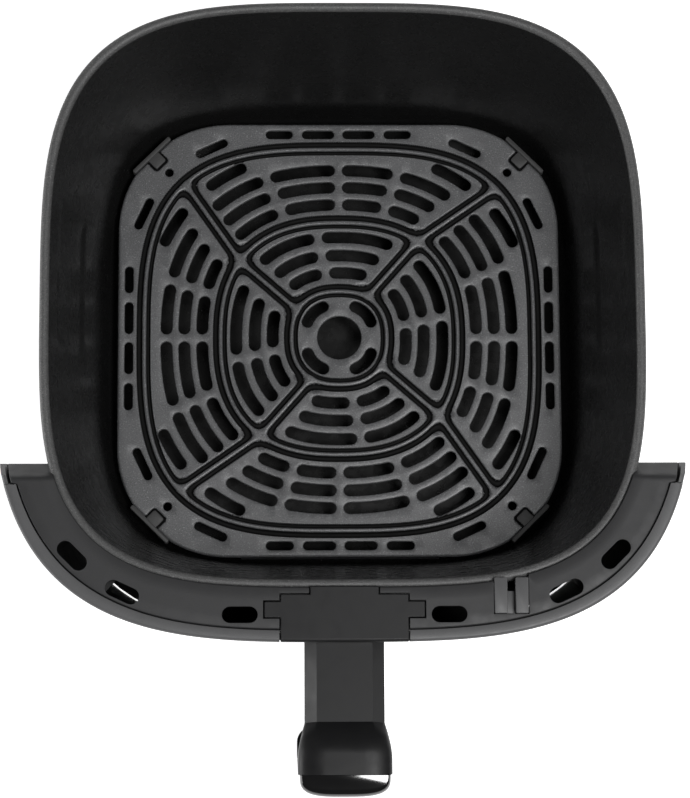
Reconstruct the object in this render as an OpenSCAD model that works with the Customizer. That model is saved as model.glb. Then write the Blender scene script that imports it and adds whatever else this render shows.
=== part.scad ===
// Pull-out drawer of a household air fryer: a deep non-stick pan with a lift-out crisper plate,
// a crescent front assembly (collar, fascia, liner, heat shield) and an upright handle.
// +Z is up, the handle points to -Y, and the origin is the centre of the pan's underside.

/* [Pan] */
// Half width of the pan's mouth, inside the rim
mouth_half = 129; // [124:0.5:136]
// How much shallower the mouth is towards the handle
front_flat = 2.1; // [0:0.1:4]
// Height of the rim's crest over the surface the pan stands on
rim_z = 117; // [105:1:140]
// Wall thickness of the drawn pan
pan_wall = 1.5; // [1:0.1:2.5]
// Lean of the walls from vertical, in degrees
draft = 11.9; // [8:0.1:13]
// Radius where the wall turns into the floor
floor_r = 18; // [10:1:24]
// Radius of the rolled bead round the rim
bead_r = 2.1; // [1.6:0.1:3]
// Height of the stamped pad that the pan stands on
pad_h = 0.8; // [0.4:0.1:1.6]
// Distance from that pad to the edge of the flat floor
pad_edge = 14.7; // [10:0.1:30]
// Corner radius of that pad
pad_r = 30; // [20:1:40]

/* [Crisper plate] */
// Gap between the plate's sides and the pan's wall
plate_gap = 5.7; // [5:0.1:10]
// Height of the plate's top face
plate_z = 22; // [18:0.5:34]
// Thickness of the plate
plate_t = 2; // [1.2:0.1:3]
// Corner radius of the plate as a share of its half width, because the pan's corners grow with it
plate_round = 0.5; // [0.46:0.01:0.52]
// Depth of the turned-down edge below the top face
skirt_h = 8; // [4:0.5:10]
// Radius of the centre hole
centre_hole_r = 10.3; // [7:0.1:12]
// Distance of each small corner hole from the plate's two nearest sides
corner_hole_edge = 23.7; // [21:0.1:27]
// Radius of each small corner hole
corner_hole_r = 2; // [1.5:0.1:3]
// Width of the curved slots
slot_w = 5.4; // [4:0.1:6]
// Width of the slots along the edge
edge_slot_w = 4; // [3:0.1:5]

/* [Silicone bumpers] */
// Length of the pad that bears on the pan
bumper_len = 24; // [16:1:26]
// Thickness of that pad
bumper_t = 2.1; // [1.5:0.1:2.6]
// Gap between that pad and the pan's corner
bumper_gap = 0.6; // [0.4:0.1:2]
// Width of the tongue over the plate
tongue_w = 6.4; // [4:0.1:9]

/* [Front assembly] */
// Height of the collar's top face over the rim
collar_rise = 2.4; // [2.3:0.1:5]
// How far the fascia stands out beyond the mouth at the sides
fascia_side = 25.3; // [24:0.1:29]
// How far the fascia stands out beyond the mouth at the front
fascia_reach = 25.9; // [24:0.1:29]
// Width of the strip of fascia that shows round the collar
strip_w = 5.2; // [4:0.1:8]
// Gap between neighbouring covers
seam = 0.35; // [0.2:0.05:0.6]
// Distance from the mouth to the collar's inner edge
lip_run = 3.4; // [2:0.1:4]
// Wall of the plastic covers
shell = 2; // [1.6:0.1:2.4]
// Inward lean of the fascia from vertical, in degrees
fascia_lean = 8.5; // [7:0.1:9]
// Place of the crescent's two ends along Y
end_y = -75; // [-82:1:-70]
// Radius of the rounded ends of the crescent
end_r = 8.7; // [5:0.1:10]
// Height of the front assembly's lowest edge
skirt_z = 2.2; // [1:0.1:6]

/* [Handle] */
// Half width of the handle's mount
mount_half = 27.6; // [25:0.1:30]
// Half width of the mount across its ears
ear_half = 34.6; // [32:0.1:35]
// Width of the neck
neck_w = 34.6; // [28:0.1:40]
// How far the neck's flat top lies below the collar
neck_drop = 9.4; // [7.4:0.1:13]
// Thickness of the neck
neck_h = 18; // [15:0.5:20]
// Width of the long bevels on the neck
neck_bevel = 5.2; // [3:0.1:7]
// Width of the grip
grip_w = 40.6; // [36:0.1:48]
// Depth of the grip's rear shell
grip_d = 14; // [11:0.5:18]
// Depth of the glossy front piece
gloss_d = 6.6; // [5:0.1:9]
// How far the grip's front seam stands out beyond the fascia
handle_run = 55.7; // [50:0.1:65]
// Height of the grip's crown over the neck
crown = 7; // [4:0.5:9]
// Height of the grip's lower end
grip_bottom = 20; // [12:1:40]

/* [Fasteners] */
// Shank radius of the screws
screw_r = 1.5; // [1.2:0.05:1.8]
// Head radius of the screws
screw_head_r = 2.8; // [2.2:0.1:3.2]
// Clearance round a screw shank
screw_gap = 0.05; // [0.03:0.01:0.1]

/* [Hidden] */

ring_n = 72;                   // points round a full outline
arc_n = 40;                    // steps along the crescent
mouth_n = 3.45;                // squareness of the mouth and rim
front_n = 3.8;                 // squareness of the mouth towards the handle
floor_n = 4.2;                 // squareness of the floor
fascia_n = 3.36;               // squareness of the fascia
lip_n = 3.72;                  // squareness of what lies between fascia and rim
floor_z = pad_h + pan_wall;    // height of the pan's floor
cover_t = 2;                   // thickness of the flat covers
boss_r = 4;                    // radius of the bosses that take the screws
lug_gap = 0.3;                 // clearance round a shank in a lug or bracket
collar_z = rim_z + collar_rise;
collar_half = mouth_half + lip_run;
fascia_half = mouth_half + fascia_side;
fascia_front = mouth_half + fascia_reach;
out_y = -fascia_front - 15;    // where cutters start, in front of the fascia
boss_z = collar_z - 13.4;      // lower face of every boss and of the collar's walls
neck_z = collar_z - neck_drop;
neck_low = neck_z - neck_h;

// ---- outlines: [half width, front depth, back depth, front squareness, back squareness] ----
mouth = [mouth_half, mouth_half - front_flat, mouth_half, front_n, mouth_n];
collar_in = [collar_half, collar_half - 1.5, collar_half, lip_n, lip_n];
fascia_out = [fascia_half, fascia_front, fascia_front, fascia_n, fascia_n];
strip_in = inset(fascia_out, strip_w);
rib_in = [mouth_half + 2 * bead_r + 1, mouth_half + 2 * bead_r + 0.2, mouth_half, lip_n, lip_n];

function inset(o, d) = [o[0] - d, o[1] - d, o[2] - d, o[3], o[4]];
function polar(o, a) =
    let (front = sin(a) < 0, b = front ? o[1] : o[2], n = front ? o[3] : o[4])
    pow(pow(abs(cos(a)) / o[0], n) + pow(abs(sin(a)) / b, n), -1 / n);
function outline_pt(o, a) = polar(o, a) * [cos(a), sin(a)];
function x_at(o, y) = o[0] * pow(1 - pow(abs(y) / o[1], o[3]), 1 / o[3]);
// point inside the fascia's upper edge by d, in a direction from the centre
function on_band(d, a) = outline_pt(inset(fascia_out, d), a);
// the crescent runs clockwise from its right end to its left end
function end_angle(o, y = end_y) = atan2(y, x_at(o, y));
function crescent_pt(o, i, n = arc_n, y = end_y) =
    let (a0 = end_angle(o, y)) outline_pt(o, a0 + (-180 - 2 * a0) * i / n);

module outline(o) {
    polygon([for (i = [0 : ring_n - 1]) outline_pt(o, 360 * i / ring_n)]);
}

// flat crescent between two outlines
module crescent(outer, inner, y = end_y) {
    polygon(concat(
        [for (i = [0 : arc_n]) crescent_pt(outer, i, arc_n, y)],
        [for (i = [arc_n : -1 : 0]) crescent_pt(inner, i, arc_n, y)]
    ));
}

// wall swept round the crescent: section is a loop of [inset, z] points
module crescent_sweep(o, section, y = end_y) {
    m = len(section);
    pts = [
        for (i = [0 : arc_n]) for (s = section)
        let (p = crescent_pt(inset(o, s[0]), i, arc_n, y)) [p[0], p[1], s[1]]
    ];
    polyhedron(pts, concat(
        [[for (j = [0 : m - 1]) j]],
        [for (i = [0 : arc_n - 1]) for (j = [0 : m - 1])
            [i * m + j, (i + 1) * m + j, (i + 1) * m + (j + 1) % m, i * m + (j + 1) % m]],
        [[for (j = [m - 1 : -1 : 0]) arc_n * m + j]]
    ));
}

// closed skin lofted through rings: each ring is [half-width inset, z, squareness blend]
function blend(a, b, u) = a + (b - a) * u;
function ring_outline(s) = [
    mouth[0] - s[0], mouth[1] - s[0], mouth[2] - s[0],
    blend(floor_n, front_n, s[2]), blend(floor_n, mouth_n, s[2])
];
module loft(rings) {
    m = len(rings);
    n = ring_n;
    pts = concat(
        [for (s = rings) for (i = [0 : n - 1])
            let (p = outline_pt(ring_outline(s), 360 * i / n)) [p[0], p[1], s[1]]],
        [[0, 0, rings[0][1]], [0, 0, rings[m - 1][1]]]
    );
    polyhedron(pts, concat(
        [for (i = [0 : n - 1]) [m * n, (i + 1) % n, i]],
        [for (k = [0 : m - 2]) for (i = [0 : n - 1])
            [k * n + i, k * n + (i + 1) % n, (k + 1) * n + (i + 1) % n, (k + 1) * n + i]],
        [for (i = [0 : n - 1]) [m * n + 1, (m - 1) * n + i, (m - 1) * n + (i + 1) % n]]
    ));
}

screw_head_t = 1.8;
// head below, shank upwards from z = 0
module screw(len) {
    translate([0, 0, -screw_head_t]) cylinder(r = screw_head_r, h = screw_head_t, $fn = 32);
    cylinder(r = screw_r, h = len, $fn = 32);
}

// ---- pan ----
function wall_inset(z) = (rim_z - bead_r - z) * tan(draft);
turn_z = floor_z + floor_r * (1 - sin(draft));
turn_x = wall_inset(turn_z) + floor_r * cos(draft);
pad_half = mouth_half - turn_x - pad_edge;
function level(z) = max(0, min(1, (z - floor_z) / (rim_z - floor_z)));
function pan_inside(z) = ring_outline([wall_inset(z), z, level(z)]);
inner_rings = concat(
    [for (a = [-90 : 13 : -draft]) let (z = floor_z + floor_r * (1 + sin(a)))
        [turn_x - floor_r * cos(a), z, level(z)]],
    [[wall_inset(turn_z + 30), turn_z + 30, level(turn_z + 30)]],
    [for (a = [180 : -30 : 0]) [-bead_r - bead_r * cos(a), rim_z - bead_r + bead_r * sin(a), 1]]
);
outer_rings = concat(
    [[-2 * bead_r, rim_z - 2 * bead_r, 1]],
    [[-pan_wall + wall_inset(rim_z - 2 * bead_r), rim_z - 2 * bead_r, 1]],
    [for (a = [-draft : -13 : -90]) let (z = floor_z + floor_r * sin(a) + floor_r + pan_wall * sin(a))
        [turn_x - (floor_r + pan_wall) * cos(a), z, level(z)]]
);
module pan() color([0.11, 0.11, 0.115]) {
    loft(concat(inner_rings, outer_rings, [[turn_x, pad_h, 0]]));
    linear_extrude(pad_h + 0.4) rounded_square(pad_half, pad_r);
}

// ---- crisper plate ----
plate_half = mouth_half - wall_inset(plate_z) - plate_gap;
plate_r = plate_round * plate_half;
corner_hole_at = plate_half - corner_hole_edge;
// The corners are cut where the bumpers on them just clear the pan's front corners.
pinch = 0.05;                  // clearance between a bumper and the plate it grips
hook_t = 1.6;                  // thickness of a bumper's tongue and of its hook
bumper_low = plate_z - plate_t - pinch - hook_t;
function corner_reach(a) = polar(pan_inside(bumper_low), -45 + a) * cos(a);
bumper_turn = asin(bumper_len / 2 / corner_reach(0));
chord_d = min(corner_reach(bumper_turn), corner_reach(-bumper_turn)) - bumper_gap - bumper_t - pinch;
skirt_t = 1.4;                 // thickness of the turned-down edges
module rounded_square(half, r) {
    square([2 * half, 2 * (half - r)], center = true);
    square([2 * (half - r), 2 * half], center = true);
    for (x = [-1, 1]) for (y = [-1, 1])
        translate([x * (half - r), y * (half - r)]) circle(r = r, $fn = 96);
}
module plate_outline(grow = 0) {
    intersection() {
        rounded_square(plate_half + grow, plate_r + grow);
        rotate(45) square(2 * (chord_d + grow), center = true);
    }
}

skirt_run = plate_half - plate_r - 6;  // half length of each turned-down edge
unit = corner_hole_at;         // the slot pattern scales with the corner holes' spacing
row_n = 2.4;                   // squareness of the slot rows
gap_rib = 0.11 * unit;         // slot end to rib centre
gap_bridge = 0.055 * unit;     // slot end to bridge centre
outer_rows = [1.012, 0.908, 0.803];
inner_rows = [0.605, 0.495, 0.39];
corner_row = 1.125;
outer_bridges = [70.7, 90, 113.9];
inner_bridge = 101.5;

function row(r) = [r * unit, r * unit, r * unit, row_n, row_n];
function outer_rib(r) = 51 - (r - 0.77) * 13.3;
function inner_rib(r) = 55.5 - (r - 0.34) * 10.1;
function swing(d, r) = d / (r * unit) * 180 / PI;

// slot bent to the curve of its row, between two directions from the centre
function heading(o, a) = let (d = outline_pt(o, a + 0.5) - outline_pt(o, a - 0.5)) atan2(d[1], d[0]);
module bent_slot(r, a1, a2, w) {
    steps = 4;
    cap = 4;
    o = row(r);
    function side(a, turn) = let (t = heading(o, a) + turn) outline_pt(o, a) + w / 2 * [cos(t), sin(t)];
    translate([0, 0, plate_z - plate_t - 1]) linear_extrude(plate_t + 2) polygon(concat(
        [for (i = [0 : steps]) side(a1 + (a2 - a1) * i / steps, -90)],
        [for (i = [1 : cap - 1]) side(a2, -90 + 180 * i / cap)],
        [for (i = [steps : -1 : 0]) side(a1 + (a2 - a1) * i / steps, 90)],
        [for (i = [1 : cap - 1]) side(a1, 90 + 180 * i / cap)]
    ));
}
module straight_slot(p1, p2, w) {
    d = p2 - p1;
    translate([p1[0], p1[1], plate_z - plate_t - 1]) rotate(atan2(d[1], d[0])) linear_extrude(plate_t + 2) {
        translate([0, -w / 2]) square([norm(d), w]);
        circle(r = w / 2, $fn = 24);
        translate([norm(d), 0]) circle(r = w / 2, $fn = 24);
    }
}
module sector_slots() {
    for (r = outer_rows) {
        ends = concat([outer_rib(r) + swing(gap_rib, r)],
            [for (b = outer_bridges) for (s = [-1, 1]) b + s * swing(gap_bridge, r)],
            [90 + outer_rib(r) - swing(gap_rib, r)]);
        for (i = [0 : 2 : len(ends) - 2]) bent_slot(r, ends[i], ends[i + 1], slot_w);
    }
    for (r = inner_rows) {
        bent_slot(r, inner_rib(r) + swing(gap_rib, r), inner_bridge - swing(gap_bridge, r), slot_w);
        bent_slot(r, inner_bridge + swing(gap_bridge, r), 90 + inner_rib(r) - swing(gap_rib, r), slot_w);
    }
    bent_slot(corner_row, 50.8, 60.2, slot_w);
    bent_slot(corner_row, 119.4, 129, slot_w);
    bent_slot(0.2, 27, 63, slot_w);
}
module edge_slots() {
    edge_y = 1.232 * unit;
    for (s = [-1, 1]) {
        straight_slot([s * 0.05 * unit, edge_y], [s * 0.19 * unit, edge_y], edge_slot_w);
        straight_slot([s * 0.295 * unit, edge_y], [s * 0.405 * unit, edge_y], edge_slot_w);
        straight_slot([s * 0.68 * unit, 1.18 * unit], [s * 0.82 * unit, 1.115 * unit], edge_slot_w);
    }
}
module crisper_plate() color([0.3, 0.3, 0.31]) difference() {
    union() {
        translate([0, 0, plate_z - plate_t]) linear_extrude(plate_t) plate_outline();
        translate([0, 0, plate_z - skirt_h]) linear_extrude(skirt_h) intersection() {
            difference() {
                plate_outline();
                plate_outline(-skirt_t);
            }
            union() {
                square([2 * skirt_run, 4 * plate_half], center = true);
                square([4 * plate_half, 2 * skirt_run], center = true);
            }
        }
    }
    for (k = [0 : 3]) rotate(90 * k) {
        sector_slots();
        edge_slots();
        translate([corner_hole_at, corner_hole_at, 0]) cylinder(r = corner_hole_r, h = plate_z + 1, $fn = 24);
    }
    cylinder(r = centre_hole_r, h = plate_z + 1, $fn = 64);
}

// ---- silicone bumper, gripping the cut corner of the plate ----
module bumper(turn) color([0.09, 0.09, 0.09]) rotate(turn) {
    tongue_l = 4.2;
    hook_w = 14;
    proud = 2;
    translate([chord_d + pinch, -bumper_len / 2, bumper_low])
        cube([bumper_t, bumper_len, plate_z + proud - bumper_low]);
    translate([chord_d - tongue_l, -tongue_w / 2, plate_z + pinch]) cube([tongue_l + 1, tongue_w, hook_t]);
    translate([chord_d - tongue_l, -hook_w / 2, bumper_low]) cube([tongue_l + 1, hook_w, hook_t]);
}
module bumper_front_left() bumper(-135);
module bumper_front_right() bumper(-45);
module bumper_back_left() bumper(135);
module bumper_back_right() bumper(45);

// ---- handle mount outline, shared with the covers it is let into ----
mount_back = 0.4 - collar_in[1];   // back edge, over the collar's lip
mount_low = neck_low;          // lower edge of its apron
heel_half = 14.8;              // half width of the heel behind its shoulders
heel_l = 3.5;                  // length of that heel
ear_at = [-6.6, -13.6];        // back and front of the ears from the back edge
module mount_outline(grow = 0) {
    step_y = mount_back - heel_l;
    translate([-heel_half - grow, step_y - 1]) square([2 * (heel_half + grow), heel_l + 1 + grow]);
    translate([-mount_half - grow, out_y]) square([2 * (mount_half + grow), step_y + grow - out_y]);
    translate([-ear_half - grow, mount_back + ear_at[1] - grow])
        square([2 * (ear_half + grow), ear_at[0] - ear_at[1] + 2 * grow]);
}

// cutter that rounds the crescent's two ends downwards
module end_rounding() {
    // the arc starts above the top face and ends past the end face, so it crosses both cleanly
    c = [end_y - end_r + 0.3, collar_z - end_r + 0.05];
    translate([-fascia_half - 1, 0, 0]) rotate([90, 0, 90]) linear_extrude(2 * fascia_half + 2)
        polygon(concat(
            [for (a = [90 : -11.25 : 0]) c + end_r * [cos(a), sin(a)]],
            [[end_y + 10, c[1]], [end_y + 10, collar_z + 3], [c[0], collar_z + 3]]
        ));
}

// ---- vent slots in the collar: [place, turn], mirrored left and right ----
vents = [[on_band(11.2, -72.5), 0], [on_band(10, -54.2), 25], [on_band(10.5, -44.9), 45]];
vent_len = 15.5;
vent_w = 7.2;
module vent_slots() {
    for (v = vents) for (s = [-1, 1])
        translate([s * v[0][0], v[0][1], collar_z - 8]) rotate(s * v[1]) linear_extrude(20) {
            square([vent_len - vent_w, vent_w], center = true);
            for (t = [-1, 1]) translate([t * (vent_len - vent_w) / 2, 0]) circle(r = vent_w / 2, $fn = 32);
        }
}

// places of the bosses that take the screws: [x, y]
bracket_boss = on_band(10, -49.8);
end_boss = on_band(12.7, -35.5);
cover_boss = on_band(lean_in(skirt_z) + 10.8, -45.7);
guide_at = on_band(12.9, -62.4);   // middle of the interlock guide
guide_w = 15;                  // its width across both bars
guide_l = 10.5;                // length of its opening in the collar
guide_lip = 4.8;               // how far its bars run back over the collar's lip

// ---- collar ----
module collar() color([0.27, 0.27, 0.275]) difference() {
    union() {
        translate([0, 0, collar_z - shell]) linear_extrude(shell)
            crescent(inset(strip_in, seam), collar_in);
        difference() {
            translate([0, 0, boss_z]) linear_extrude(collar_z - shell - boss_z)
                crescent(inset(strip_in, seam), rib_in);
            translate([0, 0, boss_z - 1]) linear_extrude(collar_z - shell - boss_z + 1)
                crescent(inset(strip_in, seam + shell), inset(rib_in, -shell), end_y - shell);
        }
        for (s = [-1, 1]) for (b = [bracket_boss, end_boss])
            translate([s * b[0], b[1], boss_z]) cylinder(r = boss_r, h = collar_z - shell - boss_z, $fn = 48);
    }
    for (s = [-1, 1]) for (b = [bracket_boss, end_boss])
        translate([s * b[0], b[1], boss_z - 1]) cylinder(r = screw_r + screw_gap, h = 10, $fn = 32);
    vent_slots();
    // seat for the handle mount; the inner wall runs on below it
    translate([0, 0, collar_z - shell - seam]) linear_extrude(20) mount_outline(seam);
    translate([-mount_half - seam, out_y, boss_z - 1])
        cube([2 * (mount_half + seam), -out_y - rib_in[1] - shell - 0.1, 20]);
    translate([guide_at[0] - guide_w / 2, guide_at[1] - guide_l / 2, boss_z + 3])
        cube([guide_w, guide_l, 20]);
    intersection() {
        end_rounding();
        translate([0, 0, boss_z - 1]) linear_extrude(30)
            crescent(fascia_out, inset(rib_in, 0.6), end_y);
    }
    // the lip over the rim only has its upper edge eased
    translate([-mouth_half - 20, end_y - 3, collar_z - 0.8]) rotate([-20, 0, 0])
        cube([2 * mouth_half + 40, 10, 4]);
}

// ---- fascia ----
function lean_in(z) = (collar_z - z) * tan(fascia_lean);
module fascia() color([0.36, 0.36, 0.365]) {
    spare = 6;
    difference() {
        crescent_sweep(fascia_out, [
            [lean_in(skirt_z), skirt_z],
            [lean_in(collar_z - 1.5), collar_z - 1.5],
            [0.5, collar_z - 0.4],
            [1.4, collar_z],
            [strip_w, collar_z],
            [strip_w, collar_z - shell],
            [shell + lean_in(collar_z - shell), collar_z - shell],
            [shell + lean_in(skirt_z), skirt_z]
        ], end_y + spare);
        translate([-mount_half - seam, out_y, mount_low - seam]) cube([2 * (mount_half + seam), 40, 60]);
        // the sweep runs past its ends and is cut off square there
        translate([-fascia_half - 1, end_y, 0]) cube([2 * fascia_half + 2, 2 * spare, collar_z + 1]);
        end_rounding();
    }
    for (s = [-1, 1]) fascia_lug(s);
}
// lug that the end screw passes through
lug_t = 2;
module fascia_lug(s) {
    lug_z = boss_z - lug_t - 0.2;
    wall_x = x_at(inset(fascia_out, shell / 2 + lean_in(lug_z)), end_boss[1]);
    difference() {
        union() {
            translate([s * end_boss[0], end_boss[1], lug_z]) cylinder(r = boss_r + 0.5, h = lug_t, $fn = 48);
            translate([min(s * end_boss[0], s * (wall_x - 0.6)), end_boss[1] - boss_r, lug_z])
                cube([wall_x - 0.6 - end_boss[0], 2 * boss_r, lug_t]);
        }
        translate([s * end_boss[0], end_boss[1], lug_z - 1]) cylinder(r = screw_r + lug_gap, h = 5, $fn = 32);
    }
}

// ---- inner liner: closes the crescent towards the pan ----
liner_top = boss_z - 12;
liner_half = rib_in[0] + 1.4;
liner_out = [liner_half, liner_half - 1.6, liner_half, lip_n, lip_n];
liner_low = skirt_z + cover_t + 0.1;
function liner_lean(z) = (liner_top - z) * tan(fascia_lean);
module inner_liner() color([0.12, 0.12, 0.12]) difference() {
    union() {
        crescent_sweep(liner_out, [
            [liner_lean(skirt_z + cover_t), liner_low],
            [0, liner_top],
            [shell, liner_top],
            [shell + liner_lean(skirt_z + cover_t), liner_low]
        ]);
        for (s = [0, 1]) mirror([s, 0, 0]) liner_end();
        for (s = [-1, 1]) translate([s * cover_boss[0], cover_boss[1], liner_low])
            cylinder(r = boss_r, h = 12, $fn = 48);
    }
    for (s = [-1, 1]) translate([s * cover_boss[0], cover_boss[1], liner_low - 1])
        cylinder(r = screw_r + screw_gap, h = 10, $fn = 32);
}
module liner_end() {
    z0 = liner_low;
    z1 = boss_z - 0.1;
    x_in = [for (z = [z0, z1]) x_at(inset(liner_out, liner_lean(z) + shell / 2), end_y - shell / 2)];
    x_out = [for (z = [z0, z1]) x_at(inset(fascia_out, shell + lean_in(z) + 0.4), end_y - shell)];
    translate([0, end_y - 0.1, 0]) rotate([90, 0, 0]) linear_extrude(shell)
        polygon([[x_in[0], z0], [x_out[0], z0], [x_out[1], z1], [x_in[1], z1]]);
}

// ---- heat shield: bent steel sheet between pan and liner ----
module heat_shield() color([0.6, 0.6, 0.6]) {
    shield_out = inset(liner_out, 4.4);
    top = liner_top - 4;
    low = skirt_z + 11.8;
    run = (top - low) * tan(fascia_lean + 1);
    sheet = 0.8;
    crescent_sweep(shield_out, [[run, low], [0, top], [sheet, top], [run + sheet, low]], end_y - 4);
}

// ---- bottom cover: flat crescent under the front assembly ----
module bottom_cover() color([0.13, 0.13, 0.13]) difference() {
    translate([0, 0, skirt_z]) linear_extrude(cover_t)
        crescent(inset(fascia_out, shell + lean_in(skirt_z) + 0.5),
            inset(liner_out, liner_lean(skirt_z) + shell + 6), end_y - 0.5);
    for (s = [-1, 1]) translate([s * cover_boss[0], cover_boss[1], 0]) {
        cylinder(r = screw_r + lug_gap, h = 10, $fn = 32);
        cylinder(r = screw_head_r + 0.2, h = skirt_z + 1, $fn = 32);
    }
}

// ---- steel brackets welded to the pan's front wall ----
weld = 0.4;                    // how far a welded edge sinks into the pan's wall
bracket_t = 1.6;
bracket_r = 5.5;               // rounded end of the side brackets
function pan_outside(z) = inset(mouth, wall_inset(z) - pan_wall);
module side_bracket(s) {
    z0 = boss_z - bracket_t - 0.05;
    a = atan2(bracket_boss[1], bracket_boss[0]);
    r0 = polar(pan_outside(z0), a) - weld;
    r1 = norm(bracket_boss);
    mirror([s < 0 ? 1 : 0, 0, 0]) rotate(a) difference() {
        union() {
            translate([r0, -bracket_r, z0]) cube([r1 - r0, 2 * bracket_r, bracket_t]);
            translate([r1, 0, z0]) cylinder(r = bracket_r, h = bracket_t, $fn = 48);
        }
        translate([r1, 0, z0 - 1]) cylinder(r = screw_r + lug_gap, h = 5, $fn = 32);
    }
}
module bracket_left() color([0.65, 0.65, 0.65]) side_bracket(-1);
module bracket_right() color([0.65, 0.65, 0.65]) side_bracket(1);

mount_screw_x = 9;
mount_screw_y = mount_back - 10.5;
core_z = neck_low + 6;         // underside of the handle's steel core
core_t = 3;
leg_half = 10;                 // half width of the core
clamp_half = 16;               // half width of the bracket and of the block over it
module handle_bracket() color([0.65, 0.65, 0.65]) {
    y0 = -polar(pan_outside(core_z), -90) + weld;
    difference() {
        translate([-clamp_half, mount_screw_y - 6, core_z - bracket_t - 0.05])
            cube([2 * clamp_half, y0 - mount_screw_y + 6, bracket_t]);
        mount_screw_holes(core_z - 5, lug_gap);
    }
}
module mount_screw_holes(z, gap) {
    for (s = [-1, 1]) translate([s * mount_screw_x, mount_screw_y, z])
        cylinder(r = screw_r + gap, h = 12, $fn = 32);
}

// ---- handle mount ----
split_z = core_z + core_t;     // plane between the neck's two shells
module handle_mount() color([0.23, 0.23, 0.235]) difference() {
    union() {
        translate([0, 0, collar_z - shell]) linear_extrude(shell) intersection() {
            mount_outline();
            outline(inset(fascia_out, shell + 1));
        }
        intersection() {
            crescent_sweep(fascia_out, [
                [lean_in(mount_low), mount_low], [lean_in(collar_z - 1.5), collar_z - 1.5],
                [0.5, collar_z - 0.4], [1.4, collar_z], [shell + 2, collar_z],
                [shell + 1 + lean_in(mount_low), mount_low]
            ]);
            translate([-mount_half, out_y, mount_low]) cube([2 * mount_half, 40, 60]);
        }
        // block that clamps the core and the bracket
        translate([-clamp_half, mount_screw_y - 5.5, split_z + 0.05])
            cube([2 * clamp_half, 10.5, collar_z - shell - split_z]);
    }
    // mouth for the neck
    translate([0, out_y, 0]) rotate([-90, 0, 0]) linear_extrude(neck_start + 3.5 - out_y)
        mirror([0, 1]) neck_section(seam);
    translate([-leg_half - 1, out_y, core_z - 0.1])
        cube([2 * leg_half + 2, mount_screw_y + 1 - out_y, core_t + 0.1]);
    mount_screw_holes(core_z, screw_gap);
}

// ---- neck ----
module neck_section(g = 0) {
    w = neck_w / 2 + g;
    b = neck_bevel;
    c = 3;
    polygon([
        [-w, neck_low + c - g], [-w + c, neck_low - g], [w - c, neck_low - g], [w, neck_low + c - g],
        [w, neck_z - b + g], [w - b, neck_z + g], [-w + b, neck_z + g], [-w, neck_z - b + g]
    ]);
}
neck_start = 5.9 - fascia_front;   // the neck starts inside the mount
grip_seam_y = fascia_front + handle_run;
head_start = 22.6 - grip_seam_y;   // where the neck rises and flares into the grip
module neck_bar(y0, y1) {
    translate([0, y1, 0]) rotate([-90, 0, 0]) linear_extrude(y0 - y1) mirror([0, 1]) neck_section();
}
module core_channel() {
    room = leg_half + 0.4;
    start = 5.6 - grip_seam_y;
    translate([-room, start, core_z - 0.1]) cube([2 * room, neck_start - start + 24, core_t + 0.2]);
}
module neck_top() color([0.23, 0.23, 0.235]) difference() {
    intersection() {
        neck_bar(neck_start, head_start);
        translate([-neck_w, head_start - 12, split_z + 0.1]) cube([2 * neck_w, 60, 40]);
    }
    hollow = neck_w / 2 - neck_bevel;
    translate([-hollow, head_start - 1, split_z]) cube([2 * hollow, 32, neck_z - split_z - shell]);
}
module neck_bottom() color([0.2, 0.2, 0.205]) difference() {
    intersection() {
        neck_bar(neck_start, head_start);
        translate([-neck_w, head_start - 12, neck_low - 1]) cube([2 * neck_w, 60, split_z - neck_low + 1]);
    }
    core_channel();
}

// ---- steel core: flat bar bent down into the grip ----
grip_lean = fascia_lean;       // the grip leans with the fascia, so the finger gap stays even
core_at = 6.6;                 // front face of the core's leg behind the grip's seam
leg_end = 8;                   // height of the leg's end over the grip's lower end
grip_screw_z = [grip_bottom + 20, neck_low - 14];
grip_top = neck_z + crown;
// turns what is drawn upright about the grip's top front edge
module leaned() {
    translate([0, -grip_seam_y, grip_top]) rotate([grip_lean, 0, 0])
        translate([0, grip_seam_y, -grip_top]) children();
}
module handle_core() color([0.62, 0.62, 0.63]) difference() {
    leg_y = -grip_seam_y + core_at;
    bar_end = -grip_seam_y + core_at + 2.5;
    union() {
        translate([-leg_half, bar_end, core_z]) cube([2 * leg_half, mount_screw_y + 6 - bar_end, core_t]);
        leaned() translate([-leg_half, leg_y, grip_bottom + leg_end])
            cube([2 * leg_half, core_t, core_z - grip_bottom - leg_end + 1]);
    }
    mount_screw_holes(core_z - 2, screw_gap);
    grip_screw_holes(screw_gap);
}
module grip_screw_holes(gap) {
    leaned() for (z = grip_screw_z) translate([0, -grip_seam_y - 4, z]) rotate([-90, 0, 0])
        cylinder(r = screw_r + gap, h = 20, $fn = 32);
}

// ---- grip ----
grip_back_y = -grip_seam_y + grip_d;
grip_r = 7;                    // radius of the rear shell's long edges
gloss_r = 5;                   // radius of the glossy front's long edges
bow = 120;                     // radius of the glossy front's gentle crown
flare_n = 8;                   // steps in the head's flare and rise
head_low = neck_low - 14;      // where the head has turned into the grip
module grip_plan() {
    r = grip_r;
    w = grip_w / 2;
    translate([-w, -grip_seam_y]) square([grip_w, grip_d - r]);
    translate([-w + r, -grip_seam_y]) square([grip_w - 2 * r, grip_d]);
    for (s = [-1, 1]) translate([s * (w - r), grip_back_y - r]) circle(r = r, $fn = 64);
}
// flare from the neck's width to the grip's, seen from above
module head_plan() {
    flare = (grip_w - neck_w) / 2;
    run = 16;
    side = [for (i = [0 : flare_n])
        [neck_w / 2 + flare * (1 - cos(180 * i / flare_n)) / 2, head_start - run * i / flare_n]];
    polygon(concat(
        side,
        [[grip_w / 2, -grip_seam_y], [-grip_w / 2, -grip_seam_y]],
        [for (i = [flare_n : -1 : 0]) [-side[i][0], side[i][1]]]
    ));
}
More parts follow.
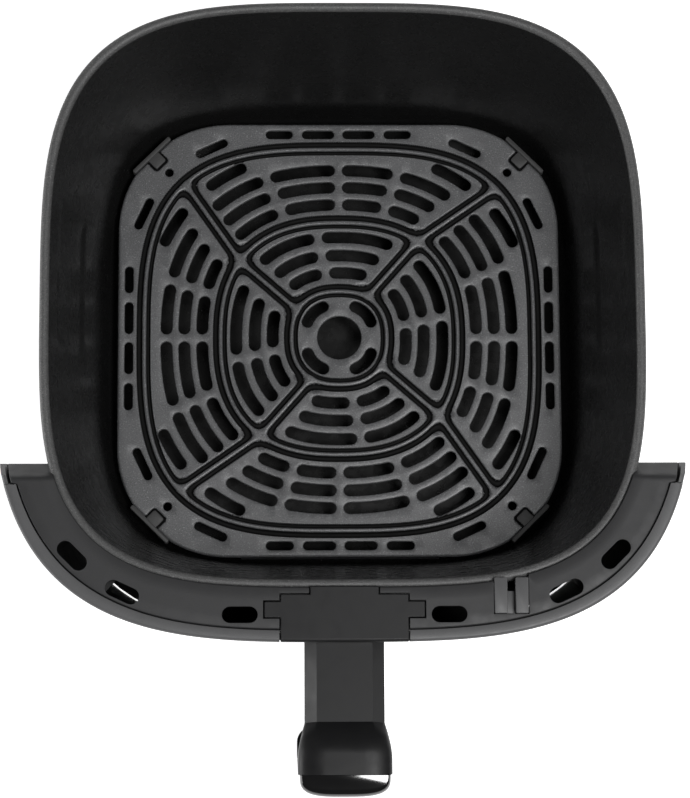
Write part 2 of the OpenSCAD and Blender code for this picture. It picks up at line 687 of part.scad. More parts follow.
// side view of the head: rises from the neck to the crown, with a front that leans
function seam_at(z) = -grip_seam_y + (grip_top - z) * tan(grip_lean);
module head_side() {
    rise = grip_top - neck_z;
    run = 13;
    polygon(concat(
        [for (i = [0 : flare_n])
            [head_start - run * i / flare_n, neck_z + rise * (1 - cos(180 * i / flare_n)) / 2]],
        [[-grip_seam_y + 4, grip_top], [seam_at(grip_top - 1), grip_top - 1], [seam_at(head_low), head_low],
         [seam_at(head_low) + grip_d, head_low], [head_start, neck_low]]
    ));
}
module grip_back() color([0.2, 0.2, 0.205]) difference() {
    slot_half = leg_half + 0.2;
    slot_back = -grip_seam_y + core_at + core_t + 0.2;
    union() {
        intersection() {
            translate([0, 0, head_low - 6]) linear_extrude(60) head_plan();
            translate([-grip_w, 0, 0]) rotate([90, 0, 90]) linear_extrude(2 * grip_w) head_side();
        }
        leaned() translate([0, 0, grip_bottom]) linear_extrude(head_low + 4 - grip_bottom) grip_plan();
    }
    core_channel();
    leaned() translate([-slot_half, -grip_seam_y - 1, grip_bottom - 1])
        cube([2 * slot_half, slot_back + grip_seam_y + 1, core_z + core_t + 1.1 - grip_bottom]);
    leaned() for (z = grip_screw_z) translate([0, 0, z]) rotate([90, 0, 0]) {
        cylinder(r = screw_r + lug_gap, h = grip_seam_y + 20, $fn = 32);
        cylinder(r = screw_head_r + 0.2, h = -grip_back_y + 2.05, $fn = 32);
    }
}
module grip_front() color([0.04, 0.04, 0.045]) difference() {
    w = grip_w / 2 - 0.6;
    r = gloss_r;
    front_y = -grip_seam_y - gloss_d;
    post_y = -grip_seam_y + core_at - 0.1;
    leaned() union() {
        translate([0, 0, grip_bottom]) linear_extrude(grip_top - 3 - grip_bottom) intersection() {
            union() {
                translate([-w, front_y + r]) square([2 * w, gloss_d - r - 0.1]);
                translate([-w + r, front_y]) square([2 * w - 2 * r, gloss_d - 0.1]);
                for (s = [-1, 1]) translate([s * (w - r), front_y + r]) circle(r = r, $fn = 64);
            }
            translate([0, front_y + bow]) circle(r = bow, $fn = 360);
            translate([-grip_w, front_y - 1]) square([2 * grip_w, gloss_d + 0.9]);
        }
        for (z = grip_screw_z) translate([0, post_y, z]) rotate([90, 0, 0])
            cylinder(r = screw_r + 1.7, h = post_y + grip_seam_y + 1, $fn = 32);
    }
    grip_screw_holes(screw_gap);
}
module grip_cap() color([0.1, 0.1, 0.1]) leaned() {
    translate([0, 0, grip_bottom - 3.1]) linear_extrude(3) union() {
        grip_plan();
        translate([-grip_w / 2 + 3, -grip_seam_y - gloss_d + 2.5]) square([grip_w - 6, gloss_d]);
    }
}

// ---- interlock guide: two raised bars that press the cooker's drawer switch ----
module interlock_guide() color([0.33, 0.33, 0.335]) {
    gap = 0.15;
    bar_w = 5.6;
    base_t = 2;
    bar_top = collar_z + 1;
    base_z = collar_z - shell - 3;
    w = guide_w - 2 * gap;
    l = guide_l - 2 * gap;
    x0 = guide_at[0] - w / 2;
    y0 = guide_at[1] - l / 2;
    translate([x0, y0, base_z]) cube([w, l, base_t]);
    for (x = [0, w - bar_w]) {
        translate([x0 + x, y0, base_z]) cube([bar_w, l, bar_top - base_z]);
        translate([x0 + x, y0, collar_z + 0.05])
            cube([bar_w, l + gap + guide_lip, bar_top - collar_z - 0.05]);
    }
}

// ---- fasteners ----
module collar_screws() color([0.7, 0.7, 0.7])
    for (s = [-1, 1]) translate([s * end_boss[0], end_boss[1], boss_z - 2.25]) screw(10);
module bracket_screws() color([0.7, 0.7, 0.7])
    for (s = [-1, 1]) translate([s * bracket_boss[0], bracket_boss[1], boss_z - bracket_t - 0.1]) screw(10);
module cover_screws() color([0.3, 0.3, 0.3])
    for (s = [-1, 1]) translate([s * cover_boss[0], cover_boss[1], skirt_z + 1]) screw(9);
module handle_screws() color([0.7, 0.7, 0.7])
    for (s = [-1, 1]) translate([s * mount_screw_x, mount_screw_y, core_z - bracket_t - 0.1]) screw(11);
module grip_screws() color([0.3, 0.3, 0.3])
    leaned() for (z = grip_screw_z) translate([0, grip_back_y - 2, z]) rotate([90, 0, 0]) screw(13.5);

pan();
crisper_plate();
bumper_front_left();
bumper_front_right();
bumper_back_left();
bumper_back_right();
collar();
fascia();
inner_liner();
heat_shield();
bottom_cover();
bracket_left();
bracket_right();
handle_bracket();
handle_mount();
neck_top();
neck_bottom();
handle_core();
grip_back();
grip_front();
grip_cap();
interlock_guide();
collar_screws();
bracket_screws();
cover_screws();
handle_screws();
grip_screws();
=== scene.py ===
import math
import bpy
import bmesh
import numpy as np
from mathutils import Matrix, Vector
from mathutils.geometry import delaunay_2d_cdt


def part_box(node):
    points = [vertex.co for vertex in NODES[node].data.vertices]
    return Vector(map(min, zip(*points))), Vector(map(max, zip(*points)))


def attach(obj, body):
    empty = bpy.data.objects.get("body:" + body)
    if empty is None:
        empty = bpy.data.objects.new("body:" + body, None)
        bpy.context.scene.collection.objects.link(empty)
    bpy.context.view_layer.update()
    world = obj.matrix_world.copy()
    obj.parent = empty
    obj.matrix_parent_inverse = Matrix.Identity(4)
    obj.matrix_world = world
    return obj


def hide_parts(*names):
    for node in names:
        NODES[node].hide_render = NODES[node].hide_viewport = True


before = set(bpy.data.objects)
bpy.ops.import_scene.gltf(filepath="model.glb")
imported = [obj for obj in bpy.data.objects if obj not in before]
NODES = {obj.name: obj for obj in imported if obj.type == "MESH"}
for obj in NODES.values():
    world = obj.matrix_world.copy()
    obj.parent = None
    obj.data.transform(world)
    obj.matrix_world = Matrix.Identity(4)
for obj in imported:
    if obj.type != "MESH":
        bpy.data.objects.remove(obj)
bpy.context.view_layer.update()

# Lengths are in millimetres in the frame's axes, and a mesh is scaled to metres as it is made.
# The camera, the lights and the floor are placed in metres.
MM = 0.001


def corners(node):
    """The lowest and highest corner of a node, in millimetres."""
    low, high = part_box(node)
    return low / MM, high / MM


pan_low, pan_high = corners("pan")
plate_low, plate_high = corners("crisper_plate")
collar_low, collar_high = corners("collar")
fascia_low, fascia_high = corners("fascia")
mount_low, mount_high = corners("handle_mount")
neck_low, neck_high = corners("neck_top")
neck_base = corners("neck_bottom")[0].z
grip_low, grip_high = corners("grip_back")
gloss_low, gloss_high = corners("grip_front")
guide_low, guide_high = corners("interlock_guide")

# ---- sizes shared by several pieces ----
BEAD = 2.1                       # radius of the rolled rim
WALL = 1.5                       # pan sheet
DRAFT = math.radians(11.9)       # lean of the pan's walls
FLOOR_R = 18.0                   # turn from wall to floor
FLOOR_N = 4.2                    # squareness of the floor
FRONT_N, BACK_N = 3.8, 3.45      # squareness of the mouth
rim_z = pan_high.z
mouth = pan_high.x - 2 * BEAD
mouth_front = -pan_low.y - 2 * BEAD

collar_z = collar_high.z
end_y = collar_high.y            # the crescent's two ends
END_RUN = 8.9                    # how far from each end the top starts to fall
END_SLOPE = 1.3                  # how steeply it falls there
WALL_LOW = 106.0                 # lower edge of the collar's walls
SEAM = 0.45                      # gap between collar and fascia
COVER_GAP = 0.5                  # gap round the handle mount
SHELL = 2.0
FASCIA_N = 3.36
LIP_N = 3.72
LEAN = math.tan(math.radians(8.5))
FASCIA_FRONT = 154.9
FASCIA_HALF = 154.3
STRIP = 5.2                      # fascia strip that shows round the collar
CUT_LOW, CUT_HIGH = 80.0, 130.0  # cutting tools reach from below the collar to above it
BEYOND_FRONT = -175.0            # and past the fascia's front
fascia_rim = (FASCIA_HALF, FASCIA_FRONT, FASCIA_N)
lip_rim = (132.4, 130.9, LIP_N)


# ---- outlines ----
def super_radius(half, depth, n, angle):
    c, s = abs(math.cos(angle)), abs(math.sin(angle))
    return ((c / half) ** n + (s / depth) ** n) ** (-1 / n)


def super_point(half, depth, n, angle):
    r = super_radius(half, depth, n, angle)
    return r * math.cos(angle), r * math.sin(angle)


def crescent_point(rim, inset, share):
    """A point on the crescent's curve, from its right end (0) to its left end (1)."""
    half, depth, n = rim[0] - inset, rim[1] - inset, rim[2]
    x_end = half * (1 - (abs(end_y) / depth) ** n) ** (1 / n)
    start = math.atan2(end_y, x_end)
    return super_point(half, depth, n, start + (-math.pi - 2 * start) * share)


def smoothstep(u):
    """Rises from 0 to 1, flat at both ends."""
    u = max(0.0, min(1.0, u))
    return (1 - math.cos(math.pi * u)) / 2


def ease_out(u):
    """Rises quickly from 0 and flattens into 1."""
    return math.sin(math.pi / 2 * max(0.0, min(1.0, u)))


def window(value, low, high, ease):
    """1 between low and high, falling to 0 over ease outside them."""
    return smoothstep((value - low) / ease + 1) * smoothstep((high - value) / ease + 1)


def evenly(a, b, count):
    """Values from a to b in equal steps."""
    return [a + (b - a) * i / count for i in range(count + 1)]


def end_cap_z(y):
    """How high the crescent may reach at y: its two ends fall away steeply after a small round."""
    past = y - (end_y - END_RUN)
    ease = 2.2
    if past <= 0:
        return collar_z
    if past < ease:
        return collar_z - END_SLOPE * past * past / (2 * ease)
    return collar_z - END_SLOPE * (past - ease / 2)


def shares(count, fine=14):
    """Steps along the crescent, closer together at its two ends."""
    edge = 0.035
    ends = [edge * i / fine for i in range(fine)]
    middle = [edge + (1 - 2 * edge) * i / count for i in range(count + 1)]
    return ends + middle + [1 - s for s in reversed(ends)]


# ---- mesh helpers ----
def piece(name, verts, faces, material, body, replaced=(), smooth=38):
    mesh = bpy.data.meshes.new(name)
    mesh.from_pydata([[c * MM for c in v] for v in verts], [], faces)
    bm = bmesh.new()
    bm.from_mesh(mesh)
    bmesh.ops.remove_doubles(bm, verts=bm.verts, dist=0.002 * MM)
    bmesh.ops.dissolve_degenerate(bm, dist=0.001 * MM, edges=bm.edges)
    bmesh.ops.recalc_face_normals(bm, faces=bm.faces)
    bm.to_mesh(mesh)
    bm.free()
    obj = bpy.data.objects.new(name, mesh)
    bpy.context.scene.collection.objects.link(obj)
    soften(mesh, smooth)
    if material:
        mesh.materials.append(material)
    if body:
        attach(obj, body)
    if replaced:
        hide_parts(*replaced)
    return obj


def soften(mesh, angle):
    for p in mesh.polygons:
        p.use_smooth = True
    mesh.set_sharp_from_angle(angle=math.radians(angle))


def rings(loops):
    """A closed skin over equal loops, each a list of 3-D points."""
    n = len(loops[0])
    verts = [p for loop in loops for p in loop]
    faces = []
    for k in range(len(loops) - 1):
        a, b = k * n, (k + 1) * n
        for i in range(n):
            j = (i + 1) % n
            faces.append((a + i, a + j, b + j, b + i))
    faces.append(tuple(range(n - 1, -1, -1)))
    last = (len(loops) - 1) * n
    faces.append(tuple(range(last, last + n)))
    return verts, faces


def strip(a, b):
    """Faces between two closed rows of vertex numbers."""
    n = len(a)
    return [(a[i], a[(i + 1) % n], b[(i + 1) % n], b[i]) for i in range(n)]


def merged(parts):
    """One mesh from several, each given as (verts, faces)."""
    verts, faces = [], []
    for part_verts, part_faces in parts:
        start = len(verts)
        verts += part_verts
        faces += [tuple(start + i for i in face) for face in part_faces]
    return verts, faces


def applied(obj):
    """Bakes the modifiers of obj into its mesh."""
    bpy.context.view_layer.update()
    dg = bpy.context.evaluated_depsgraph_get()
    mesh = bpy.data.meshes.new_from_object(obj.evaluated_get(dg))
    old = obj.data
    obj.modifiers.clear()
    obj.data = mesh
    bpy.data.meshes.remove(old)
    mesh.name = obj.name


def cut(obj, cutters, operation="DIFFERENCE"):
    """Cuts (or joins) obj with closed meshes given as (verts, faces)."""
    tools = []
    for i, (verts, faces) in enumerate(cutters):
        tool = piece(f"{obj.name}_tool{i}", verts, faces, None, None)
        tools.append(tool)
        mod = obj.modifiers.new("cut", "BOOLEAN")
        mod.operation = operation
        mod.solver = "EXACT"
        mod.object = tool
    applied(obj)
    for tool in tools:
        bpy.data.objects.remove(tool)


def bevel(obj, width, segments=2, angle=40):
    mod = obj.modifiers.new("edges", "BEVEL")
    mod.width = width * MM
    mod.segments = segments
    mod.limit_method = "ANGLE"
    mod.angle_limit = math.radians(angle)
    mod.use_clamp_overlap = True
    mod.harden_normals = True


def block(x0, x1, y0, y1, z0, z1):
    low = [(x0, y0, z0), (x1, y0, z0), (x1, y1, z0), (x0, y1, z0)]
    return rings([low, [(x, y, z1) for x, y, _ in low]])


def prism(outline, z0, z1):
    return rings([[(x, y, z0) for x, y in outline], [(x, y, z1) for x, y in outline]])


def capsule(x, y, turn, length, width, steps=14):
    """Outline of a slot with round ends."""
    r, reach = width / 2, (length - width) / 2
    turn = math.radians(turn)
    out = []
    for side, start in ((1, -90), (-1, 90)):
        for i in range(steps + 1):
            a = math.radians(start + 180 * i / steps)
            u, v = side * reach + r * math.cos(a), r * math.sin(a)
            out.append((x + u * math.cos(turn) - v * math.sin(turn),
                        y + u * math.sin(turn) + v * math.cos(turn)))
    return out


# ---- materials ----
COAT_ROUGH = 0.12                # of a clear coat
CLOUD_SIZE = 40.0                # slow change of shade over a surface
SMUDGE_SIZE = 6.0                # change of roughness
BUMP_DEPTH = 0.12


def material(name, color, rough, grain=0.0, grain_size=0.5, bump=0.0, bump_size=0.3,
             coat=0.0, metallic=0.0, specular=0.5, cloud=0.0, rough_spread=0.06, flecks=0.0):
    """Plastic, coated metal or rubber. Sizes are in millimetres."""
    m = bpy.data.materials.new(name)
    m.use_nodes = True
    nt = m.node_tree
    bsdf = nt.nodes["Principled BSDF"]
    bsdf.inputs["Metallic"].default_value = metallic
    bsdf.inputs["Coat Weight"].default_value = coat
    bsdf.inputs["Coat Roughness"].default_value = COAT_ROUGH
    bsdf.inputs["Specular IOR Level"].default_value = specular
    coord = nt.nodes.new("ShaderNodeTexCoord")

    def noise(size, detail=2.0, rough_share=0.55):
        tex = nt.nodes.new("ShaderNodeTexNoise")
        tex.inputs["Scale"].default_value = 1 / (size * MM)
        tex.inputs["Detail"].default_value = detail
        tex.inputs["Roughness"].default_value = rough_share
        nt.links.new(coord.outputs["Object"], tex.inputs["Vector"])
        return tex.outputs["Fac"]

    def spread(value, low, high, from_low=0.3, from_high=0.7):
        node = nt.nodes.new("ShaderNodeMapRange")
        node.inputs["From Min"].default_value = from_low
        node.inputs["From Max"].default_value = from_high
        node.inputs["To Min"].default_value = low
        node.inputs["To Max"].default_value = high
        nt.links.new(value, node.inputs["Value"])
        return node.outputs["Result"]

    def times(a, b):
        node = nt.nodes.new("ShaderNodeMath")
        node.operation = "MULTIPLY"
        nt.links.new(a, node.inputs[0])
        nt.links.new(b, node.inputs[1])
        return node.outputs[0]

    shade = times(spread(noise(grain_size), 1 - grain, 1 + grain),
                  spread(noise(CLOUD_SIZE), 1 - cloud - 0.03, 1 + cloud + 0.03))
    if flecks:
        fleck = spread(noise(grain_size * 1.3, 1.0), 0.0, 1.0, 0.62, 0.72)
        lift = nt.nodes.new("ShaderNodeMath")
        lift.operation = "MULTIPLY_ADD"
        nt.links.new(fleck, lift.inputs[0])
        lift.inputs[1].default_value = flecks
        nt.links.new(shade, lift.inputs[2])
        shade = lift.outputs[0]
    mix = nt.nodes.new("ShaderNodeVectorMath")
    mix.operation = "SCALE"
    mix.inputs[0].default_value = color
    nt.links.new(shade, mix.inputs["Scale"])
    nt.links.new(mix.outputs[0], bsdf.inputs["Base Color"])
    nt.links.new(spread(noise(SMUDGE_SIZE, 4.0), rough - rough_spread, rough + rough_spread),
                 bsdf.inputs["Roughness"])
    if bump:
        node = nt.nodes.new("ShaderNodeBump")
        node.inputs["Strength"].default_value = bump
        node.inputs["Distance"].default_value = BUMP_DEPTH * MM
        nt.links.new(noise(bump_size, 3.0), node.inputs["Height"])
        nt.links.new(node.outputs["Normal"], bsdf.inputs["Normal"])
    return m


def grey(value):
    return (value, value, value)


pan_coat = material("pan_coating", grey(0.008), 0.27, grain=0.10, grain_size=0.7, bump=0.25,
                    bump_size=0.5, cloud=0.06, specular=0.4)
# the rim's speckle is the coating's own; its grey, far lighter than the pan's coating, is painted sheen
rim_speckle_and_painted_sheen_coat = material("rim_speckle_and_painted_sheen", grey(0.075), 0.5, grain=0.5, grain_size=0.5, bump=0.9,
                    bump_size=0.45, flecks=1.3)
plate_coat = material("plate_coating", (0.088, 0.089, 0.092), 0.42, grain=0.5, grain_size=0.5,
                      bump=1.0, bump_size=0.45, flecks=1.5, cloud=0.1, specular=0.7)
# near-black: painted shade in the grooves and round the nubs
groove_painted_shade = material("groove_shade_painted", grey(0.003), 0.7, grain=0.2, bump=0.3, specular=0.15)
silicone = material("silicone_rubber", grey(0.05), 0.6, grain=0.10, bump=0.25, specular=0.4)
collar_plastic = material("collar_plastic", (0.030, 0.030, 0.031), 0.52, grain=0.08, grain_size=0.4,
                          bump=0.3, bump_size=0.35, cloud=0.03, specular=0.35)
fascia_plastic = material("fascia_plastic", (0.082, 0.082, 0.084), 0.48, grain=0.07, grain_size=0.4,
                          bump=0.22, bump_size=0.35, cloud=0.03)
handle_plastic = material("handle_plastic", (0.011, 0.011, 0.0115), 0.42, grain=0.06, grain_size=0.4,
                          bump=0.2, bump_size=0.35, cloud=0.03, specular=0.28)
grip_plastic = material("grip_plastic", (0.008, 0.008, 0.0085), 0.4, grain=0.06, grain_size=0.4,
                        bump=0.16, bump_size=0.35, cloud=0.03, specular=0.28)
liner_plastic = material("liner_plastic", grey(0.012), 0.6, grain=0.08, bump=0.25)
gloss_black = material("gloss_black", (0.002, 0.002, 0.0022), 0.08, grain=0.05, coat=0.5,
                       rough_spread=0.02, specular=0.5)
# its dark grey is painted shade: this steel is seen in shadow through the vents
steel_sheet = material("steel_sheet", (0.13, 0.13, 0.133), 0.6, grain=0.08, metallic=1.0, bump=0.15)
screw_steel = material("screw_steel", (0.45, 0.45, 0.47), 0.3, grain=0.06, metallic=1.0)
# near black as painted shade, for the brackets and screws seen in shadow through the vents
black_steel = material("black_steel", grey(0.006), 0.45, grain=0.1, bump=0.2, specular=0.35)


# ---- pan ----
def wall_inset(z):
    return (rim_z - BEAD - z) * math.tan(DRAFT)


PAD = 0.8
floor_z = PAD + WALL
turn_z = floor_z + FLOOR_R * (1 - math.sin(DRAFT))
turn_x = wall_inset(turn_z) + FLOOR_R * math.cos(DRAFT)
AROUND = 288


def pan_ring(inset, z, scale=1.0):
    level = max(0.0, min(1.0, (z - floor_z) / (rim_z - floor_z)))
    out = []
    for i in range(AROUND):
        a = 2 * math.pi * i / AROUND
        front = math.sin(a) < 0
        depth = (mouth_front if front else mouth) - inset
        n = FLOOR_N + ((FRONT_N if front else BACK_N) - FLOOR_N) * level
        x, y = super_point(mouth - inset, depth, n, a)
        out.append((x * scale, y * scale, z))
    return out


PANEL_Y = (-16.0, 42.0)          # the panel pressed into each side wall
PANEL_Z = (62.0, 98.0)
PANEL_DEPTH = 0.9
SIDE_X = 60.0                    # points further out than this are on a side wall
PAD_HALF = 76.0


def embossed(ring):
    """A shallow panel pressed outwards in each side wall."""
    out = []
    for x, y, z in ring:
        depth = PANEL_DEPTH * window(y, *PANEL_Y, 1.6) * window(z, *PANEL_Z, 3.0)
        out.append((x + math.copysign(depth, x) if abs(x) > SIDE_X else x, y, z))
    return out


def paint_rim_speckle_and_sheen(pan):
    """The rim and the outside just below it get the speckled coating, its grey painted lighter than the
    walls' to stand in for the sheen that the rim catches.
    """
    bead_z = (rim_z - 0.9 * BEAD) * MM
    low_z = (rim_z - 2.6 * BEAD) * MM
    for p in pan.data.polygons:
        c = p.center
        outwards = p.normal.dot(Vector((c.x, c.y, 0)).normalized()) > 0.1
        if c.z > bead_z or (c.z > low_z and outwards):
            p.material_index = 1


def pan_piece():
    draft = math.degrees(DRAFT)
    top = rim_z - BEAD
    inner = [pan_ring(turn_x, floor_z, s) for s in (0.02, 0.25, 0.5, 0.75, 0.93)]
    for a in evenly(-90, -draft, 14):
        r = math.radians(a)
        inner.append(pan_ring(turn_x - FLOOR_R * math.cos(r), floor_z + FLOOR_R * (1 + math.sin(r))))
    inner += [embossed(pan_ring(wall_inset(z), z)) for z in evenly(turn_z, top - 3.0, 44)[1:]]
    inner.append(pan_ring(wall_inset(top - 1.2), top - 1.2))
    bead = []
    for a in evenly(180, -75, 20):
        r = math.radians(a)
        bead.append(pan_ring(-BEAD - BEAD * math.cos(r), top + BEAD * math.sin(r)))
    outer = [pan_ring(-WALL + wall_inset(z), z) for z in evenly(top - BEAD, turn_z, 12)]
    thick = FLOOR_R + WALL
    for a in evenly(-draft, -90, 10)[1:]:
        r = math.radians(a)
        outer.append(pan_ring(turn_x - thick * math.cos(r), floor_z + FLOOR_R + thick * math.sin(r)))
    pad_share = PAD_HALF / (mouth - turn_x)
    outer += [pan_ring(turn_x, PAD, s) for s in (0.99, pad_share + 0.012)]
    outer += [pan_ring(turn_x, 0.0, s) for s in (pad_share, 0.5, 0.02)]
    verts, faces = rings(inner + bead + outer)
    pan = piece("pan_body", verts, faces, pan_coat, "drawer", ["pan"], 55)
    pan.data.materials.append(rim_speckle_and_painted_sheen_coat)
    paint_rim_speckle_and_sheen(pan)


# ---- crisper plate ----
CHORD = 123.8
plate_half = plate_high.x
PLATE_R = 0.5 * plate_half
plate_z = plate_high.z
UNIT = 80.0                      # half the distance between the small corner holes
PLATE_T = 1.5
SLOT_N = 2.4
SLOT_W = 5.4
GAP_RIB = 0.11 * UNIT
GAP_BRIDGE = 0.055 * UNIT
EDGE_SLOT_W = 4.0
CENTRE_HOLE_R = 10.3
CORNER_HOLE_R = 2.0
RIDGE_RINGS = ((0.277, 2.4), (0.693, 2.5), (1.14, 3.2))
RIDGE_RIBS = (((0.283, 56.1), (0.742, 51.5)), ((0.742, 51.4), (1.295, 44.2)))
GROOVE_IN = (1.75, 1.05)         # groove inside a ring: its middle from the ridge's, half width
GROOVE_OUT = (2.4, 1.4)          # the wider groove outside a ring
GROOVE_DEPTH = 1.9
FILLET = 5.0                     # how widely the grooves turn where ridges meet
SKIRT_T = 1.4                    # thickness of the turned-down edges

# rows of slots by their distance from the middle in UNITs, with angles in degrees
OUTER_ROWS = (1.012, 0.908, 0.803)
OUTER_BRIDGES = (70.7, 90, 113.9)
INNER_ROWS = (0.605, 0.495, 0.39)
INNER_BRIDGE = 101.5
CORNER_ROW = 1.125
CORNER_SLOTS = ((50.8, 60.2), (119.4, 129))
HUB_ROW = 0.2
HUB_SLOT = (27, 63)
EDGE_Y = 1.232
EDGE_SLOTS = (((0.05, EDGE_Y), (0.19, EDGE_Y)), ((0.295, EDGE_Y), (0.405, EDGE_Y)),
              ((0.68, 1.18), (0.82, 1.115)))

# (how far out, how far down) along the side of an opening, and along the plate's own side
SLOT_SIDE = ((0.45, 0.0), (0.2, -0.1), (0.05, -0.3), (0.0, -0.6), (0.0, -PLATE_T))
PLATE_SIDE = ((1.3, 0.0), (0.85, -0.08), (0.4, -0.38), (0.1, -0.8), (0.0, -1.3), (0.0, -PLATE_T - 0.4))


def row_point(r, angle):
    return super_point(r * UNIT, r * UNIT, SLOT_N, math.radians(angle))


def bent_loop(r, a1, a2, half, steps=8, cap=8):
    """Outline of a slot that follows its row."""
    def side(a, turn):
        p, q = row_point(r, a + 0.5), row_point(r, a - 0.5)
        t = math.atan2(p[1] - q[1], p[0] - q[0]) + math.radians(turn)
        x, y = row_point(r, a)
        return x + half * math.cos(t), y + half * math.sin(t)

    out = [side(a1 + (a2 - a1) * i / steps, -90) for i in range(steps + 1)]
    out += [side(a2, -90 + 180 * i / cap) for i in range(1, cap)]
    out += [side(a1 + (a2 - a1) * i / steps, 90) for i in range(steps, -1, -1)]
    out += [side(a1, 90 + 180 * i / cap) for i in range(1, cap)]
    return out


def straight_loop(p, q, half, cap=8):
    turn = math.degrees(math.atan2(q[1] - p[1], q[0] - p[0]))
    length = math.dist(p, q) + 2 * half
    return capsule((p[0] + q[0]) / 2, (p[1] + q[1]) / 2, turn, length, 2 * half, cap)


def circle_loop(x, y, r, count):
    return [(x + r * math.cos(2 * math.pi * i / count), y + r * math.sin(2 * math.pi * i / count))
            for i in range(count)]


def swing(distance, r):
    return math.degrees(distance / (r * UNIT))


def outer_rib(r):
    """Angle of the ridge that ends an outer row."""
    return 51 - (r - 0.77) * 13.3


def inner_rib(r):
    return 55.5 - (r - 0.34) * 10.1


def slot_makers():
    """One function of the growth for every opening in a quarter of the plate."""
    out = []

    def bent(r, a1, a2):
        out.append(lambda g: bent_loop(r, a1, a2, SLOT_W / 2 + g))

    for r in OUTER_ROWS:
        ends = [outer_rib(r) + swing(GAP_RIB, r)]
        for bridge in OUTER_BRIDGES:
            ends += [bridge - swing(GAP_BRIDGE, r), bridge + swing(GAP_BRIDGE, r)]
        ends.append(90 + outer_rib(r) - swing(GAP_RIB, r))
        for i in range(0, len(ends), 2):
            bent(r, ends[i], ends[i + 1])
    for r in INNER_ROWS:
        bent(r, inner_rib(r) + swing(GAP_RIB, r), INNER_BRIDGE - swing(GAP_BRIDGE, r))
        bent(r, INNER_BRIDGE + swing(GAP_BRIDGE, r), 90 + inner_rib(r) - swing(GAP_RIB, r))
    for a1, a2 in CORNER_SLOTS:
        bent(CORNER_ROW, a1, a2)
    bent(HUB_ROW, *HUB_SLOT)
    for s in (-1, 1):
        for p, q in EDGE_SLOTS:
            a, b = (s * p[0] * UNIT, p[1] * UNIT), (s * q[0] * UNIT, q[1] * UNIT)
            out.append(lambda g, a=a, b=b: straight_loop(a, b, EDGE_SLOT_W / 2 + g))
    out.append(lambda g: circle_loop(UNIT, UNIT, CORNER_HOLE_R + g, 20))
    return out


def turned(loop, k):
    """A loop turned by k quarters."""
    c, s = round(math.cos(k * math.pi / 2)), round(math.sin(k * math.pi / 2))
    return [(c * x - s * y, s * x + c * y) for x, y in loop]


def plate_loop(inset, count=360):
    """The plate's rounded square with its four corners cut, moved in by inset."""
    half, r, chord = plate_half - inset, PLATE_R - inset, CHORD - inset
    out = []
    for i in range(count):
        a = 2 * math.pi * i / count
        d = Vector((math.cos(a), math.sin(a)))
        u, v = max(abs(d.x), abs(d.y)), min(abs(d.x), abs(d.y))
        t = half / u
        c = half - r
        if t * v > c:
            b = c * (u + v)
            t = b + math.sqrt(b * b - 2 * c * c + r * r)
        t = min(t, chord / math.cos(math.radians(math.degrees(a) % 90 - 45)))
        out.append((t * d.x, t * d.y))
    return out


def ring_fields(x, y):
    """Signed distance to each ridge ring, positive outside it."""
    ax, ay = np.abs(x) + 1e-6, np.abs(y) + 1e-6
    out = []
    for r, n in RIDGE_RINGS:
        f = (ax ** n + ay ** n) ** (1 / n)
        slope = np.sqrt(ax ** (2 * n - 2) + ay ** (2 * n - 2)) / f ** (n - 1)
        out.append((f - r * UNIT) / slope)
    return out


def rib_ends():
    """The two ends of every straight ridge, with the rings that it joins."""
    for ring, ((r1, a1), (r2, a2)) in enumerate(RIDGE_RIBS):
        for k in range(4):
            ends = [np.array([r * UNIT * math.cos(math.radians(a + 90 * k)),
                              r * UNIT * math.sin(math.radians(a + 90 * k))])
                    for r, a in ((r1, a1), (r2, a2))]
            yield ring, ends[0], ends[1]


def ridge_parts(x, y):
    """Distance to every ridge, and which side of it a point is on: 1 outside, 0 inside a ring."""
    fields = ring_fields(x, y)
    away = [np.abs(f) for f in fields]
    side = [(f > 0) * 1.0 for f in fields]
    for ring, p, q in rib_ends():
        d = q - p
        t = np.clip(((x - p[0]) * d[0] + (y - p[1]) * d[1]) / (d @ d), 0, 1)
        # a rib doesn't count beyond the rings that it runs between
        beyond = np.maximum(fields[ring + 1], 0) + np.maximum(-fields[ring], 0)
        away.append(np.hypot(x - p[0] - t * d[0], y - p[1] - t * d[1]) + 3 * beyond)
        side.append(np.full(np.shape(x), 0.5))
    return np.array(away), np.array(side)


def ridge_distance(x, y):
    """Distance to the network of ridges, rounded where two of them meet, and the side."""
    away, side = ridge_parts(x, y)
    weight = np.exp(-(away - away.min(axis=0)) / 0.8)
    outside = (weight * side).sum(axis=0) / weight.sum(axis=0)
    near, second = np.sort(away, axis=0)[:2]
    h = np.clip(0.5 + 0.5 * (second - near) / FILLET, 0, 1)
    smooth = second * (1 - h) + near * h - FILLET * h * (1 - h)
    return np.maximum(smooth, 0), outside


BUMPER_AT = CHORD + 0.05         # inner face of the bumper's bar along the diagonal
NUB_HALF = 3.2
NUB_LONG = 5.4
NUB_UNDER = 1.5                  # how far the nub's outline runs on under the bar
NUB_GAP = 0.35                   # from the nub to its outline
NOTCH_HALF = 0.9                 # half width and corner radius of that outline


def nub_distance(x, y):
    """Distance to the outline of the nearest bumper's nub."""
    u = (np.abs(x) + np.abs(y)) / math.sqrt(2) - (CHORD - NUB_LONG / 2 + NUB_UNDER)
    v = (np.abs(x) - np.abs(y)) / math.sqrt(2)
    r = NOTCH_HALF
    qx = np.abs(u) - (NUB_LONG / 2 + NUB_UNDER + NUB_GAP - r)
    qy = np.abs(v) - (NUB_HALF + NUB_GAP - r)
    outside = np.hypot(np.maximum(qx, 0), np.maximum(qy, 0))
    return outside + np.minimum(np.maximum(qx, qy), 0) - r


